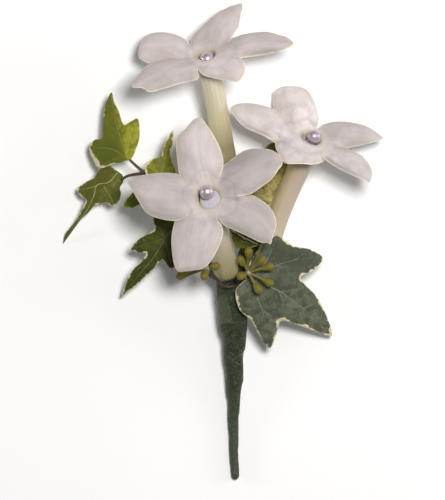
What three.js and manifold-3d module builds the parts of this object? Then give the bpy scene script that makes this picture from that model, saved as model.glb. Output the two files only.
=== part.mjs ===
// A boutonniere: three stephanotis florets with pearl pins, variegated ivy
// leaves and a spray of ivy buds, bound with green tape on a tapering stem.
// Millimetres. It lies on its back: +X right, +Y towards the top floret, +Z up
// off the table. The origin is under the middle of the whole, on the table.
import * as THREE from 'three';
import { mergeVertices } from 'three/addons/utils/BufferGeometryUtils.js';
import Module from 'manifold-3d';

const wasm = await Module();
wasm.setup();

// Sizes that several pieces share
const GAP = 0.3;                 // air left between two pieces that touch
const WELD = 1e-4;               // points nearer than this are one point
const PEARL_DIAMETER = 3.9;
const PIN_DIAMETER = 0.7;
const PIN_LENGTH = 9;            // shank from the middle of the pearl
const WIRE_DIAMETER = 1.0;
const THROAT_DEPTH = 6.5;
const COTTON_HEIGHT = 1.2;       // how far the cotton dome stands out of the throat
const COTTON_DEPTH = 5.2;        // how far it reaches down the throat
const LOBE_THICKNESS = 0.85;
const LOBE_ROOT = 2.5;           // distance of a lobe's root from the throat's axis
const LEAF_THICKNESS = 0.65;
const STALK_DIAMETER = 1.1;      // leaf stalks and the vine
const BUD_DIAMETER = 2.4;

// Colours
const PETAL = { color: 0xe6dfd9, roughness: 0.5 };
const COTTON = { color: 0xf2efe9, roughness: 1.0 };
const PEARL = { color: 0xd9d2dd, roughness: 0.2, metalness: 0.1 };
const STEEL = { color: 0xb9bcc0, roughness: 0.3, metalness: 1.0 };
const TAPED_WIRE = { color: 0x3f5a3c, roughness: 0.8 };
const TAPE = { color: 0x2f4a36, roughness: 0.7 };
const LEAF_BRIGHT = { color: 0x7c8f3c, roughness: 0.5 };
const LEAF_DARK = { color: 0x4d5f3a, roughness: 0.5 };
const LEAF_GREY = { color: 0x59705a, roughness: 0.5 };
const BUD = { color: 0x7f8a3a, roughness: 0.6 };

// The taped handle: its axis from the binding point down to the tip, with the
// half width at each station
const HANDLE = [
  { at: [2.4, -11.4, 8.0], radius: 4.15 },
  { at: [2.7, -16.5, 7.2], radius: 4.1 },
  { at: [3.0, -21.7, 6.3], radius: 3.85 },
  { at: [3.2, -26.9, 5.2], radius: 3.1 },
  { at: [3.1, -31.5, 4.2], radius: 2.65 },
  { at: [3.2, -37.9, 3.0], radius: 2.3 },
  { at: [3.1, -42.8, 2.2], radius: 1.75 },
  { at: [3.0, -49.5, 1.5], radius: 1.4 },
  { at: [3.1, -56.5, 1.3], radius: 1.2 },
  { at: [3.4, -62.5, 1.25], radius: 1.1 },
  { at: [3.5, -64.7, 1.2], radius: 0.8 },
];
const HANDLE_SIDES = 16;
const WRAP_PITCH = 9;            // length of one turn of the tape
const WRAP_RIDGE = 0.22;         // height of the tape's overlapping edge

// Where each stem enters the handle's top face: across and up from its middle
const SOCKETS = {
  wire_front: [-0.7, 2.1],
  wire_top: [-1.2, -0.5],
  wire_right: [2.7, -1.3],
  vine: [-2.95, -0.3],
  leaf_lower_left: [-2.6, 1.8],
  leaf_back: [0.6, -2.6],
  leaf_centre: [1.2, 0.2],
  leaf_lower_right: [2.95, 0.8],
  buds: [1.5, 2.6],
};
const STEM_DEPTH = 7;            // how far the leaf stalks reach into the handle

// The florets. throat: middle of the mouth; faces: the way the mouth looks;
// cotton: half width of the cotton tip; base: round end of the tube; leaves: the
// way the tube runs at its base. Lobe tips are points, width is each lobe's full
// width and peak where along it that lies, arch its rise over the straight line
// from root to tip, sway its bend sideways, roll its turn about its own length
// in degrees, blunt how square its end is.
const FLORETS = {
  top: {
    throat: [-3.6, 47.1, 17.5], faces: [-0.19, 0.80, 0.57], cotton: 1.9,
    base: [1.2, 17.0, 6.6], leaves: [0.14, -0.95, -0.28],
    lobes: [
      { tip: [5.3, 64.4, 2.4], width: 11.5, peak: 0.3, arch: 2.5, sway: -1.2, roll: 12, blunt: 0 },
      { tip: [19.0, 53.5, 19.5], width: 7.8, peak: 0.5, arch: 1.5, sway: -1.4, roll: 18, blunt: 0.3 },
      { tip: [4.3, 45.0, 28.5], width: 8.5, peak: 0.55, arch: -0.5, sway: -0.8, roll: 0, blunt: 0.6 },
      { tip: [-24.0, 42.0, 25.5], width: 10.5, peak: 0.55, arch: 1.0, sway: 0.7, roll: -10, blunt: 0.6 },
      { tip: [-22.8, 53.3, 10.0], width: 11.5, peak: 0.55, arch: 2.0, sway: 0.7, roll: 0, blunt: 0.6 },
    ],
    wireEnd: -30,
  },
  right: {
    throat: [23.3, 26.0, 17.0], faces: [0.30, 0.76, 0.57], cotton: 2.3,
    base: [11.0, -5.2, 6.0], leaves: [-0.22, -0.95, -0.20],
    lobes: [
      { tip: [18.2, 42.3, 0.2], width: 12.4, peak: 0.55, arch: 2.5, sway: -0.3, roll: 0, blunt: 0.6 },
      { tip: [2.2, 35.8, 16.0], width: 10.6, peak: 0.5, arch: 1.5, sway: 0, roll: -15, blunt: 0.3 },
      { tip: [21.2, 20.9, 27.5], width: 12.5, peak: 0.6, arch: 0.3, sway: 0, roll: 16, blunt: 0.8 },
      { tip: [39.8, 15.7, 22.5], width: 9.0, peak: 0.55, arch: 1.0, sway: -0.9, roll: 10, blunt: 0.5 },
      { tip: [43.3, 28.2, 9.0], width: 11.0, peak: 0.5, arch: 2.0, sway: 0, roll: 0, blunt: 0.3 },
    ],
    wireEnd: -38,
  },
  front: {
    throat: [-3.6, 11.4, 31.5], faces: [-0.16, 0.40, 0.90], cotton: 2.75,
    base: [1.2, -8.6, 12.6], leaves: [0.12, -0.86, -0.50],
    lobes: [
      { tip: [-6.4, 33.1, 28.5], width: 11.8, peak: 0.52, arch: 2.2, sway: -0.9, roll: 0, blunt: 0.3 },
      { tip: [16.3, 21.2, 29.5], width: 10.8, peak: 0.55, arch: 1.8, sway: -1.0, roll: 0, blunt: 0.2 },
      { tip: [13.0, -0.5, 30.0], width: 10.4, peak: 0.6, arch: 1.5, sway: -2.0, roll: 0, blunt: 0.6 },
      { tip: [-9.4, -7.6, 29.5], width: 12.8, peak: 0.58, arch: 1.5, sway: 0.4, roll: 0, blunt: 0.9 },
      { tip: [-25.0, 16.3, 28.5], width: 12.2, peak: 0.55, arch: 1.8, sway: -2.2, roll: 0, blunt: 0.4 },
    ],
    wireEnd: -58,
  },
};

// Half width of a floret's tube, from the mouth to its round base, in pairs of
// radius and share of the length
const TUBE_PROFILE = [
  [3.9, 0.0], [3.5, 0.05], [3.15, 0.14], [2.95, 0.35], [3.0, 0.6],
  [3.3, 0.8], [3.45, 0.88], [3.1, 0.95], [2.0, 0.99],
];

// The ivy leaves. heart: where the stalk joins the blade; lean: its rise to the
// right and towards the top; droop: how fast it falls away from the heart; the
// outline goes round the edge from lobe tip to notch.
const LEAVES = {
  upper_left: {
    heart: [-27.9, 24.7, 10.5], lean: [0.10, -0.12], droop: 0.006,
    outline: [
      [-30.1, 40.4], [-29.4, 37.9], [-28.2, 35.5], [-26.6, 31.6], [-24.8, 32.5], [-23.1, 33.3],
      [-22.4, 29.0], [-23.2, 25.5], [-24.8, 22.3], [-26.7, 21.6], [-29.0, 21.1], [-33.5, 19.9],
      [-35.0, 22.0], [-36.1, 25.4], [-34.6, 27.6], [-32.8, 28.0], [-32.4, 30.8], [-32.0, 36.3],
    ],
  },
  curled_left: {
    heart: [-32.0, 14.7, 7.6], lean: [0.06, 0.05], droop: 0.0160,
    outline: [
      [-32.8, 20.4], [-29.3, 20.0], [-27.0, 18.0], [-26.9, 15.8], [-27.4, 12.8], [-29.1, 9.3],
      [-31.1, 10.6], [-34.2, 9.4], [-37.1, 6.8], [-40.1, 3.6], [-42.0, 1.2], [-43.5, -0.6],
      [-42.0, 3.0], [-40.5, 5.6], [-38.4, 9.0], [-36.6, 11.8], [-38.7, 12.3], [-39.6, 14.0],
      [-36.6, 16.1], [-34.4, 18.5],
    ],
  },
  mid_left: {
    heart: [-16.6, 18.2, 13.0], lean: [0.05, -0.15], droop: 0.006,
    outline: [
      [-13.4, 30.1], [-15.0, 27.7], [-16.2, 25.0], [-16.6, 23.1], [-19.0, 22.3], [-21.1, 20.4],
      [-20.7, 17.7], [-22.3, 15.0], [-24.7, 12.8], [-27.1, 9.6], [-24.7, 9.0], [-22.3, 10.1],
      [-19.6, 11.7], [-16.9, 12.8], [-14.2, 13.9], [-11.5, 15.0], [-12.6, 18.8], [-13.8, 22.5],
      [-13.5, 26.3],
    ],
  },
  lower_left: {
    heart: [-15.5, 0.9, 13.0], lean: [0.10, 0.05], droop: 0.018,
    outline: [
      [-27.4, -15.0], [-26.6, -12.3], [-25.1, -8.8], [-21.7, -5.0], [-20.7, -3.3], [-22.8, -2.9],
      [-24.7, -2.0], [-22.5, 0.7], [-18.6, 3.4], [-18.8, 6.3], [-15.3, 8.2], [-10.9, 6.6],
      [-7.6, 2.6], [-7.4, -2.3], [-11.0, -5.6], [-14.0, -7.2], [-16.2, -4.9], [-18.6, -7.2],
      [-21.5, -10.2], [-24.4, -12.7],
    ],
  },
  lower_right: {
    heart: [9.2, -9.4, 15.4], lean: [-0.02, 0.02], droop: 0.016,
    outline: [
      [3.6, -13.1], [4.6, -18.4], [7.6, -21.2], [10.4, -26.1], [12.8, -28.8], [14.6, -25.0],
      [15.8, -21.5], [19.6, -22.3], [25.0, -24.3], [29.6, -25.6], [28.5, -20.9], [25.5, -15.0],
      [21.1, -9.8], [24.2, -8.0], [27.3, -4.7], [23.9, -2.2], [19.0, -1.1], [17.2, 0.2],
      [15.0, 1.6], [12.3, -0.1], [10.7, -2.8], [8.6, -5.0], [7.0, -7.4], [6.5, -9.8],
    ],
  },
  centre: {
    heart: [5.0, 0.2, 20.0], lean: [0.15, 0.35], droop: 0.02,
    outline: [
      [3.2, 2.6], [4.6, 1.9], [6.4, 0.9], [8.1, 0.0], [9.6, -0.9], [8.0, -1.4], [6.0, -1.7],
      [4.2, -1.6], [3.4, -0.2], [3.1, 1.2],
    ],
  },
  back: {
    heart: [11.2, 14.8, 9.0], lean: [-0.03, -0.08], droop: 0.012,
    outline: [
      [7.4, 9.9], [6.3, 13.9], [8.0, 19.8], [11.3, 25.2], [14.4, 27.1], [15.9, 24.0],
      [16.2, 19.8], [15.0, 15.0], [12.2, 10.4], [9.8, 11.0],
    ],
  },
};
const LEAF_RINGS = [0, 0.55, 1];

// Routes of the stalks, from the blade's heart to just over the handle
const LEAF_STALKS = {
  lower_left: [[-8.5, -5.5, 11.0], [-2.0, -10.0, 10.0]],
  lower_right: [[7.6, -10.6, 12.4], [5.6, -11.0, 9.4]],
  centre: [[5.8, -3.6, 14.4], [6.0, -7.4, 11.0], [4.2, -10.6, 8.6]],
  back: [[7.6, 4.0, 4.8], [4.4, -6.0, 4.6]],
};
const VINE = [[-5.5, -3.0, 9.6], [-12.5, 8.0, 10.4], [-18.0, 15.5, 11.0], [-21.2, 18.6, 11.0]];
const SPRIG_STALKS = [
  { leaf: 'upper_left', from: [-21.2, 18.6, 11.0], by: [-24.2, 21.2, 10.8] },
  { leaf: 'curled_left', from: [-21.2, 18.6, 11.0], by: [-26.0, 17.6, 9.4] },
  { leaf: 'mid_left', from: [-15.0, 11.5, 10.7], by: [-15.9, 14.6, 11.6] },
];

// The spray of buds: a stalk out of the handle with two umbels
const BUD_STALK = [[3.9, -10.9, 12.6], [5.3, -9.4, 16.2], [7.0, -8.4, 18.6]];
const BUD_BRANCH = [[3.9, -10.9, 12.8], [2.8, -12.1, 13.8], [0.6, -12.0, 14.2], [-2.3, -9.4, 15.8],
  [-4.0, -7.2, 17.2]];
const UMBEL_RIGHT = [
  [7.0, -2.8, 21.6], [5.0, -5.0, 20.0], [10.5, -5.1, 20.6], [12.6, -6.8, 19.4],
  [12.6, -11.1, 18.6], [9.6, -12.9, 19.0], [5.0, -9.3, 21.0],
];
const UMBEL_LEFT = [[-1.9, -6.6, 19.2], [-4.9, -9.3, 18.6], [-11.3, -9.3, 17.8]];
const BARE_STALK = [10.4, -0.9, 21.0];   // a bud stalk that has lost its bud

const vec = ([x, y, z]) => new THREE.Vector3(x, y, z);

// A curve through points
const through = (points) => new THREE.CatmullRomCurve3(points, false, 'centripetal');

// An indexed geometry with its points welded and its empty triangles dropped
function welded(geometry) {
  const bare = geometry.clone();
  bare.deleteAttribute('normal');
  bare.deleteAttribute('uv');
  const merged = mergeVertices(bare, WELD);
  const index = merged.getIndex().array;
  const kept = [];
  for (let i = 0; i < index.length; i += 3) {
    const [a, b, c] = [index[i], index[i + 1], index[i + 2]];
    if (a !== b && b !== c && c !== a) kept.push(a, b, c);
  }
  merged.setIndex(kept);
  return merged;
}

// A solid from a closed geometry, turned right side out if it is inside out
function solid(geometry) {
  const closed = welded(geometry);
  const position = closed.getAttribute('position');
  const index = Array.from(closed.getIndex().array);
  const corner = [new THREE.Vector3(), new THREE.Vector3(), new THREE.Vector3()];
  let volume = 0;
  for (let i = 0; i < index.length; i += 3) {
    corner.forEach((point, k) => point.fromBufferAttribute(position, index[i + k]));
    volume += corner[0].dot(corner[1].clone().cross(corner[2]));
  }
  if (volume < 0) index.reverse();
  const mesh = new wasm.Mesh({
    numProp: 3,
    vertProperties: new Float32Array(position.array),
    triVerts: new Uint32Array(index),
  });
  return new wasm.Manifold(mesh);
}

const joined = (solids) => solids.reduce((sum, next) => sum.add(next));

// An open sheet of columns by rows, each point placed by its two shares
function sheet(columns, rows, place) {
  const plane = new THREE.PlaneGeometry(1, 1, columns, rows);
  const position = plane.getAttribute('position');
  for (let i = 0; i < position.count; i++) {
    const point = place(position.getX(i) + 0.5, position.getY(i) + 0.5);
    position.setXYZ(i, point.x, point.y, point.z);
  }
  return welded(plane);
}

// A closed blade: the sheet moved half the thickness to each side along its
// normals, both faces split alike, and the rim closed
function thicken(open, thickness) {
  open.computeVertexNormals();
  const position = open.getAttribute('position');
  const normal = open.getAttribute('normal');
  const index = open.getIndex().array;
  const count = position.count;
  const points = new Float32Array(count * 6);
  for (let i = 0; i < count; i++) {
    for (let axis = 0; axis < 3; axis++) {
      const middle = position.getComponent(i, axis);
      const shift = normal.getComponent(i, axis) * thickness / 2;
      points[i * 3 + axis] = middle + shift;
      points[(i + count) * 3 + axis] = middle - shift;
    }
  }
  const faces = [];
  const rim = new Map();
  for (let i = 0; i < index.length; i += 3) {
    const face = [index[i], index[i + 1], index[i + 2]];
    faces.push(...face, face[0] + count, face[2] + count, face[1] + count);
    face.forEach((a, k) => {
      const b = face[(k + 1) % 3];
      if (rim.has(`${b} ${a}`)) rim.delete(`${b} ${a}`);
      else rim.set(`${a} ${b}`, [a, b]);
    });
  }
  for (const [a, b] of rim.values()) {
    faces.push(a, a + count, b, b, a + count, b + count);
  }
  const blade = new THREE.BufferGeometry();
  blade.setAttribute('position', new THREE.BufferAttribute(points, 3));
  blade.setIndex(faces);
  return solid(blade);
}

// A turned shape bent along a curve. profile: pairs of radius and share of the
// curve's length; swell may change the radius with the angle and the share.
function turned(curve, profile, sides, swell = () => 0) {
  const steps = 200;
  const frames = curve.computeFrenetFrames(steps, false);
  const outline = profile.map(([radius, share]) => new THREE.Vector2(radius, share));
  outline.unshift(new THREE.Vector2(0, profile[0][1]));
  outline.push(new THREE.Vector2(0, profile.at(-1)[1]));
  const lathe = new THREE.LatheGeometry(outline, sides);
  const position = lathe.getAttribute('position');
  for (let i = 0; i < position.count; i++) {
    const share = THREE.MathUtils.clamp(position.getY(i), 0, 1);
    const flat = new THREE.Vector2(position.getX(i), position.getZ(i));
    const angle = flat.angle();
    const radius = flat.length();
    const grown = radius > 0 ? radius + swell(angle, share) : 0;
    const k = Math.round(share * steps);
    const point = curve.getPointAt(share)
      .addScaledVector(frames.normals[k], grown * Math.cos(angle))
      .addScaledVector(frames.binormals[k], grown * Math.sin(angle));
    position.setXYZ(i, point.x, point.y, point.z);
  }
  return solid(lathe);
}

// A round stalk from one radius to another along a curve
function stalk(curve, start, end, steps, sides = 6) {
  const profile = [];
  for (let i = 0; i <= steps; i++) {
    profile.push([THREE.MathUtils.lerp(start, end, i / steps), i / steps]);
  }
  return turned(curve, profile, sides);
}

// A rod of one diameter along a curve. Its hole is wider and longer by the gap.
function rod(curve, diameter, spacing, isHole = false) {
  const radius = diameter / 2 + (isHole ? GAP : 0);
  const inset = isHole ? 0 : GAP / curve.getLength();
  const steps = Math.max(1, Math.round(curve.getLength() / spacing));
  const profile = [];
  for (let i = 0; i <= steps; i++) {
    profile.push([radius, THREE.MathUtils.lerp(inset, 1 - inset, i / steps)]);
  }
  return turned(curve, profile, 6);
}

// Point on the handle's axis at a height down the picture, with its half width
function handleAt(y) {
  const found = HANDLE.findIndex((station) => station.at[1] < y);
  const below = found < 0 ? HANDLE.length - 1 : Math.max(1, found);
  const [upper, lower] = [HANDLE[below - 1], HANDLE[below]];
  const share = (upper.at[1] - y) / (upper.at[1] - lower.at[1]);
  return {
    middle: vec(upper.at).lerp(vec(lower.at), share),
    radius: THREE.MathUtils.lerp(upper.radius, lower.radius, share),
  };
}

// Points of a stem inside the handle, drawing in as the handle narrows
function inHandle(socket, end) {
  const top = HANDLE[0].at[1];
  const [across, up] = SOCKETS[socket];
  const points = [];
  const steps = Math.max(2, Math.round((top - end) / 6));
  for (let i = 0; i <= steps; i++) {
    const { middle, radius } = handleAt(THREE.MathUtils.lerp(top, end, i / steps));
    const narrow = Math.max(0, Math.min(1, (radius - 1.2) / (HANDLE[0].radius - 1.2)));
    points.push(middle.add(new THREE.Vector3(across * narrow, 0, up * narrow)));
  }
  return points;
}

// A floret's own axes: out of the mouth, and two across it
function mouth(floret) {
  const out = vec(floret.faces).normalize();
  const across = new THREE.Vector3(1, 0, 0).projectOnPlane(out).normalize();
  return { middle: vec(floret.throat), out, across, up: out.clone().cross(across) };
}

// The middle line of a floret's tube, from the mouth to the base
function tubeLine(floret) {
  const { middle, out } = mouth(floret);
  const base = vec(floret.base);
  const reach = middle.distanceTo(base) / 3;
  return new THREE.CubicBezierCurve3(
    middle.clone().addScaledVector(out, 0.4),
    middle.clone().addScaledVector(out, -reach),
    base.clone().addScaledVector(vec(floret.leaves).normalize(), -reach),
    base,
  );
}

// Share of a lobe's full width at a share of its length
function lobeWidth(share, peak, blunt) {
  const root = 0.52;
  if (share < peak) return root + (1 - root) * Math.sin(share / peak * Math.PI / 2);
  const past = (share - peak) / (1 - peak);
  return Math.max(0.05, (1 - past ** (1.9 + 1.4 * blunt)) ** (0.85 - 0.3 * blunt));
}

function lobe(floret, { tip, width, peak, arch, sway, roll, blunt }) {
  const { middle, out } = mouth(floret);
  const end = vec(tip);
  const outward = end.clone().sub(middle).projectOnPlane(out).normalize();
  const root = middle.clone().addScaledVector(outward, LOBE_ROOT);
  const sideways = outward.clone().cross(out);
  const bend = root.clone().lerp(end, 0.5)
    .addScaledVector(out, 2 * arch)
    .addScaledVector(sideways, 2 * sway);
  const line = new THREE.QuadraticBezierCurve3(root, bend, end);
  return thicken(sheet(4, 8, (u, v) => {
    const along = line.getTangent(v);
    const side = along.clone().cross(out).normalize()
      .applyAxisAngle(along, THREE.MathUtils.degToRad(roll) * Math.min(1, 2.5 * v));
    const above = side.clone().cross(along);
    const across = (2 * u - 1);
    const half = width / 2 * lobeWidth(v, peak, blunt);
    return line.getPoint(v)
      .addScaledVector(side, across * half)
      .addScaledVector(above, -0.22 * half * across * across * Math.sin(Math.PI * v));
  }), LOBE_THICKNESS);
}

// The wire of a floret: from inside the cotton, down the tube, into the handle
function wireLine(name) {
  const floret = FLORETS[name];
  const tube = tubeLine(floret);
  const start = (COTTON_DEPTH - 1.5) / tube.getLength();
  const inTube = [start, 0.35, 0.6, 0.85, 1].map((share) => tube.getPointAt(share));
  return through([...inTube, ...inHandle(`wire_${name}`, floret.wireEnd)]);
}

const wireRod = (name, isHole) => rod(wireLine(name), WIRE_DIAMETER, 4, isHole);

function floretSolid(name) {
  const floret = FLORETS[name];
  const line = tubeLine(floret);
  const { middle, out } = mouth(floret);
  const well = new THREE.LineCurve3(
    middle.clone().addScaledVector(out, 4),
    middle.clone().addScaledVector(out, -THROAT_DEPTH),
  );
  const open = floret.cotton + GAP;
  const parts = [turned(line, TUBE_PROFILE, 12), ...floret.lobes.map((each) => lobe(floret, each))];
  return joined(parts)
    .subtract(turned(well, [[open, 0], [open, 0.45], [open * 0.85, 0.66], [open * 0.6, 1]], 10))
    .subtract(wireRod(name, true));
}

// The cotton tip that fills the throat, with a hole below for the wire and one
// above for the pin
function cottonSolid(name) {
  const floret = FLORETS[name];
  const { middle, out } = mouth(floret);
  const line = new THREE.LineCurve3(
    middle.clone().addScaledVector(out, COTTON_HEIGHT),
    middle.clone().addScaledVector(out, -COTTON_DEPTH),
  );
  const r = floret.cotton;
  const plug = turned(line, [
    [0.5 * r, 0], [0.85 * r, 0.08], [r, 0.2], [0.95 * r, 0.45], [0.75 * r, 0.7], [0.4 * r, 1],
  ], 10);
  return plug
    .subtract(pinRod(name, true))
    .subtract(wireRod(name, true));
}

function pearlPlace(name) {
  const { middle, out } = mouth(FLORETS[name]);
  return middle.addScaledVector(out, COTTON_HEIGHT + GAP + PEARL_DIAMETER / 2);
}

// The pin's shank, from the middle of the pearl down beside the wire
function pinLine(name) {
  const { out, across } = mouth(FLORETS[name]);
  const start = pearlPlace(name);
  const end = start.clone().addScaledVector(out, -PIN_LENGTH * 0.62).addScaledVector(across, 0.9);
  return new THREE.LineCurve3(start, end);
}

const pinRod = (name, isHole) => rod(pinLine(name), PIN_DIAMETER, PIN_LENGTH, isHole);

function pearlSolid(name) {
  const ball = new THREE.SphereGeometry(PEARL_DIAMETER / 2, 14, 9);
  const middle = pearlPlace(name);
  ball.translate(middle.x, middle.y, middle.z);
  return solid(ball)
    .subtract(pinRod(name, true));
}

// Height of a leaf's blade over a point of its outline's plane
function leafHeight({ heart, lean, droop }, x, y) {
  const [dx, dy] = [x - heart[0], y - heart[1]];
  return heart[2] + lean[0] * dx + lean[1] * dy - droop * (dx * dx + dy * dy);
}

function leafBlade(name) {
  const leaf = LEAVES[name];
  const flat = leaf.outline.map(([x, y]) => new THREE.Vector3(x, y, 0));
  const edge = new THREE.CatmullRomCurve3(flat, true, 'centripetal');
  const columns = flat.length * 2;
  const heart = new THREE.Vector3(leaf.heart[0], leaf.heart[1], 0);
  return thicken(sheet(columns, LEAF_RINGS.length - 1, (u, v) => {
    const share = LEAF_RINGS[Math.round(v * (LEAF_RINGS.length - 1))];
    const point = heart.clone().lerp(edge.getPoint(u % 1), share);
    point.z = leafHeight(leaf, point.x, point.y);
    return point;
  }), LEAF_THICKNESS);
}

// A leaf with its own stalk into the handle
function stalkedLeafLine(name) {
  const heart = vec(LEAVES[name].heart);
  const route = LEAF_STALKS[name].map(vec);
  return through([heart, ...route, ...inHandle(`leaf_${name}`, HANDLE[0].at[1] - STEM_DEPTH)]);
}

const leafStalk = (name, isHole) => rod(stalkedLeafLine(name), STALK_DIAMETER, 3, isHole);

const stalkedLeaf = (name) => leafBlade(name).add(leafStalk(name));

// The vine tip at the left with its three leaves
const vineLine = through([
  ...inHandle('vine', HANDLE[0].at[1] - STEM_DEPTH).reverse(), ...VINE.map(vec),
]);

const vineStalk = (isHole) => rod(vineLine, STALK_DIAMETER, 3, isHole);

const sprig = () => joined([
  vineStalk(),
  ...SPRIG_STALKS.map(({ leaf, from, by }) => stalk(
    through([vec(from), vec(by), vec(LEAVES[leaf].heart)]),
    STALK_DIAMETER * 0.45, STALK_DIAMETER * 0.4, 4,
  )),
  ...SPRIG_STALKS.map(({ leaf }) => leafBlade(leaf)),
]);

// The buds: each a ball on a stalk that widens towards it, out of an umbel's hub
const budStalkLine = through([
  ...inHandle('buds', HANDLE[0].at[1] - STEM_DEPTH).reverse(), ...BUD_STALK.map(vec),
]);
const budStalk = (isHole) => rod(budStalkLine, STALK_DIAMETER, 2, isHole);

function umbel(hub, buds) {
  return buds.flatMap((place) => {
    const middle = vec(place);
    const ball = new THREE.OctahedronGeometry(BUD_DIAMETER / 2, 1).translate(...place);
    const stem = new THREE.LineCurve3(vec(hub), middle);
    return [solid(ball), turned(stem, [[0.38, 0], [0.45, 0.5], [0.78, 1]], 5)];
  });
}

function budSpray() {
  const hubs = [BUD_STALK.at(-1), BUD_BRANCH.at(-1)];
  return joined([
    budStalk(),
    stalk(through(BUD_BRANCH.map(vec)), 0.5, 0.45, 7, 5),
    ...hubs.map((hub) => solid(new THREE.IcosahedronGeometry(0.8, 0).translate(...hub))),
    ...umbel(hubs[0], UMBEL_RIGHT),
    ...umbel(hubs[1], UMBEL_LEFT),
    stalk(new THREE.LineCurve3(vec(hubs[0]), vec(BARE_STALK)), 0.35, 0.55, 1, 5),
  ]);
}

// The taped handle, its surface ridged where each turn laps the last, with a
// plain hole for each stem
function tapeSolid() {
  const line = through(HANDLE.map(({ at }) => vec(at)));
  const length = line.getLength();
  const rings = 22;
  const profile = [];
  for (let i = 0; i <= rings; i++) {
    const share = i / rings;
    profile.push([handleAt(line.getPointAt(share).y).radius, share]);
  }
  const lap = (angle, share) => {
    const turn = (share * length / WRAP_PITCH - angle / (2 * Math.PI)) % 1;
    return WRAP_RIDGE * ((turn + 1) % 1 - 0.5);
  };
  const holes = [
    ...Object.keys(FLORETS).map((name) => wireRod(name, true)),
    ...Object.keys(LEAF_STALKS).map((name) => leafStalk(name, true)),
    vineStalk(true),
    budStalk(true),
  ];
  return holes.reduce((left, hole) => left.subtract(hole), turned(line, profile, HANDLE_SIDES, lap));
}

// A named mesh from a solid
function piece(name, shape, look) {
  const { vertProperties, triVerts } = shape.getMesh();
  const geometry = new THREE.BufferGeometry();
  geometry.setAttribute('position', new THREE.BufferAttribute(vertProperties, 3));
  geometry.setIndex(new THREE.BufferAttribute(triVerts, 1));
  const mesh = new THREE.Mesh(geometry, new THREE.MeshStandardMaterial(look));
  mesh.name = name;
  return mesh;
}

const boutonniere = new THREE.Group();
for (const name of Object.keys(FLORETS)) {
  boutonniere.add(
    piece(`floret_${name}`, floretSolid(name), PETAL),
    piece(`cotton_${name}`, cottonSolid(name), COTTON),
    piece(`pearl_${name}`, pearlSolid(name), PEARL),
    piece(`pin_${name}`, pinRod(name), STEEL),
    piece(`wire_${name}`, wireRod(name), TAPED_WIRE),
  );
}
boutonniere.add(
  piece('ivy_sprig_left', sprig(), LEAF_BRIGHT),
  piece('ivy_leaf_lower_left', stalkedLeaf('lower_left'), LEAF_DARK),
  piece('ivy_leaf_lower_right', stalkedLeaf('lower_right'), LEAF_GREY),
  piece('ivy_leaf_centre', stalkedLeaf('centre'), LEAF_BRIGHT),
  piece('ivy_leaf_back', stalkedLeaf('back'), LEAF_DARK),
  piece('bud_spray', budSpray(), BUD),
  piece('tape_wrap', tapeSolid(), TAPE),
);

export default boutonniere;
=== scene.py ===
"""Looks of a boutonniere: three stephanotis florets with pearl pins, ivy, buds and a taped stem.

The shapes are worked out in millimetres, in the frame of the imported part, and each
finished mesh is then brought to metres.
"""

import bisect
import math

import bmesh
import bpy
from mathutils import Matrix, Vector, kdtree, noise


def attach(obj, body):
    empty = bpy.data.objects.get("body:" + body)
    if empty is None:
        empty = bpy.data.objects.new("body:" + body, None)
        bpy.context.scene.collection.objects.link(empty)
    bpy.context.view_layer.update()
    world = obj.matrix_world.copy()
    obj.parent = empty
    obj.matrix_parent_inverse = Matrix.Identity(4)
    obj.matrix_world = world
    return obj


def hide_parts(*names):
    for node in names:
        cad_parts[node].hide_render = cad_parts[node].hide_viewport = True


bl_info = {
    "name": "Boutonniere",
    "version": (1, 0, 0),
    "blender": (4, 5, 0),
    "location": "3D View > Sidebar > Boutonniere",
    "description": "Builds the florets, pins, ivy, buds and taped stem of a boutonniere around its solids",
    "category": "Add Mesh",
}

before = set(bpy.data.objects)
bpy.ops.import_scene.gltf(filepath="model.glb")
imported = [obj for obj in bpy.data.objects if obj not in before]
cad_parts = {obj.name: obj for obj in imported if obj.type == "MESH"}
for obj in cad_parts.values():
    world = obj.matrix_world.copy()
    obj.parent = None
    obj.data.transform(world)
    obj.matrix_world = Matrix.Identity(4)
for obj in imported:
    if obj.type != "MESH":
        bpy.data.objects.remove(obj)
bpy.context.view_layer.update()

MM = 0.001
BODY = "root"
TURN = 2 * math.pi
GAP = 0.3  # air between two pieces that touch in the solids
FAR_IN = 3.0  # distance in from a petal's edge beyond which its finish stays the same

# The taped handle: its axis from the binding point to the tip, with its half width
HANDLE = [
    ((2.4, -11.4, 8.0), 4.15),
    ((2.7, -16.5, 7.2), 4.1),
    ((3.0, -21.7, 6.3), 3.85),
    ((3.2, -26.9, 5.2), 3.1),
    ((3.1, -31.5, 4.2), 2.65),
    ((3.2, -37.9, 3.0), 2.3),
    ((3.1, -42.8, 2.2), 1.75),
    ((3.0, -49.5, 1.5), 1.4),
    ((3.1, -56.5, 1.3), 1.2),
    ((3.4, -62.5, 1.25), 1.1),
    ((3.5, -64.7, 1.2), 0.8),
]

# The first turns of tape, behind the front floret's base
COLLAR = [((2.3, -8.6, 8.9), 2.2), ((2.3, -9.9, 8.4), 3.4)]

# Where each stem enters the handle's top face: across and up from its middle
SOCKETS = {
    "wire_front": (-0.7, 2.1),
    "wire_top": (-1.2, -0.5),
    "wire_right": (2.7, -1.3),
    "vine": (-2.95, -0.3),
    "leaf_lower_left": (-2.6, 1.8),
    "leaf_back": (0.6, -2.6),
    "leaf_centre": (1.2, 0.2),
    "leaf_lower_right": (2.95, 0.8),
    "buds": (1.5, 2.6),
}

STALK_END = HANDLE[0][0][1] - 7  # how far down the handle the stalks of leaves and buds reach

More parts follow.
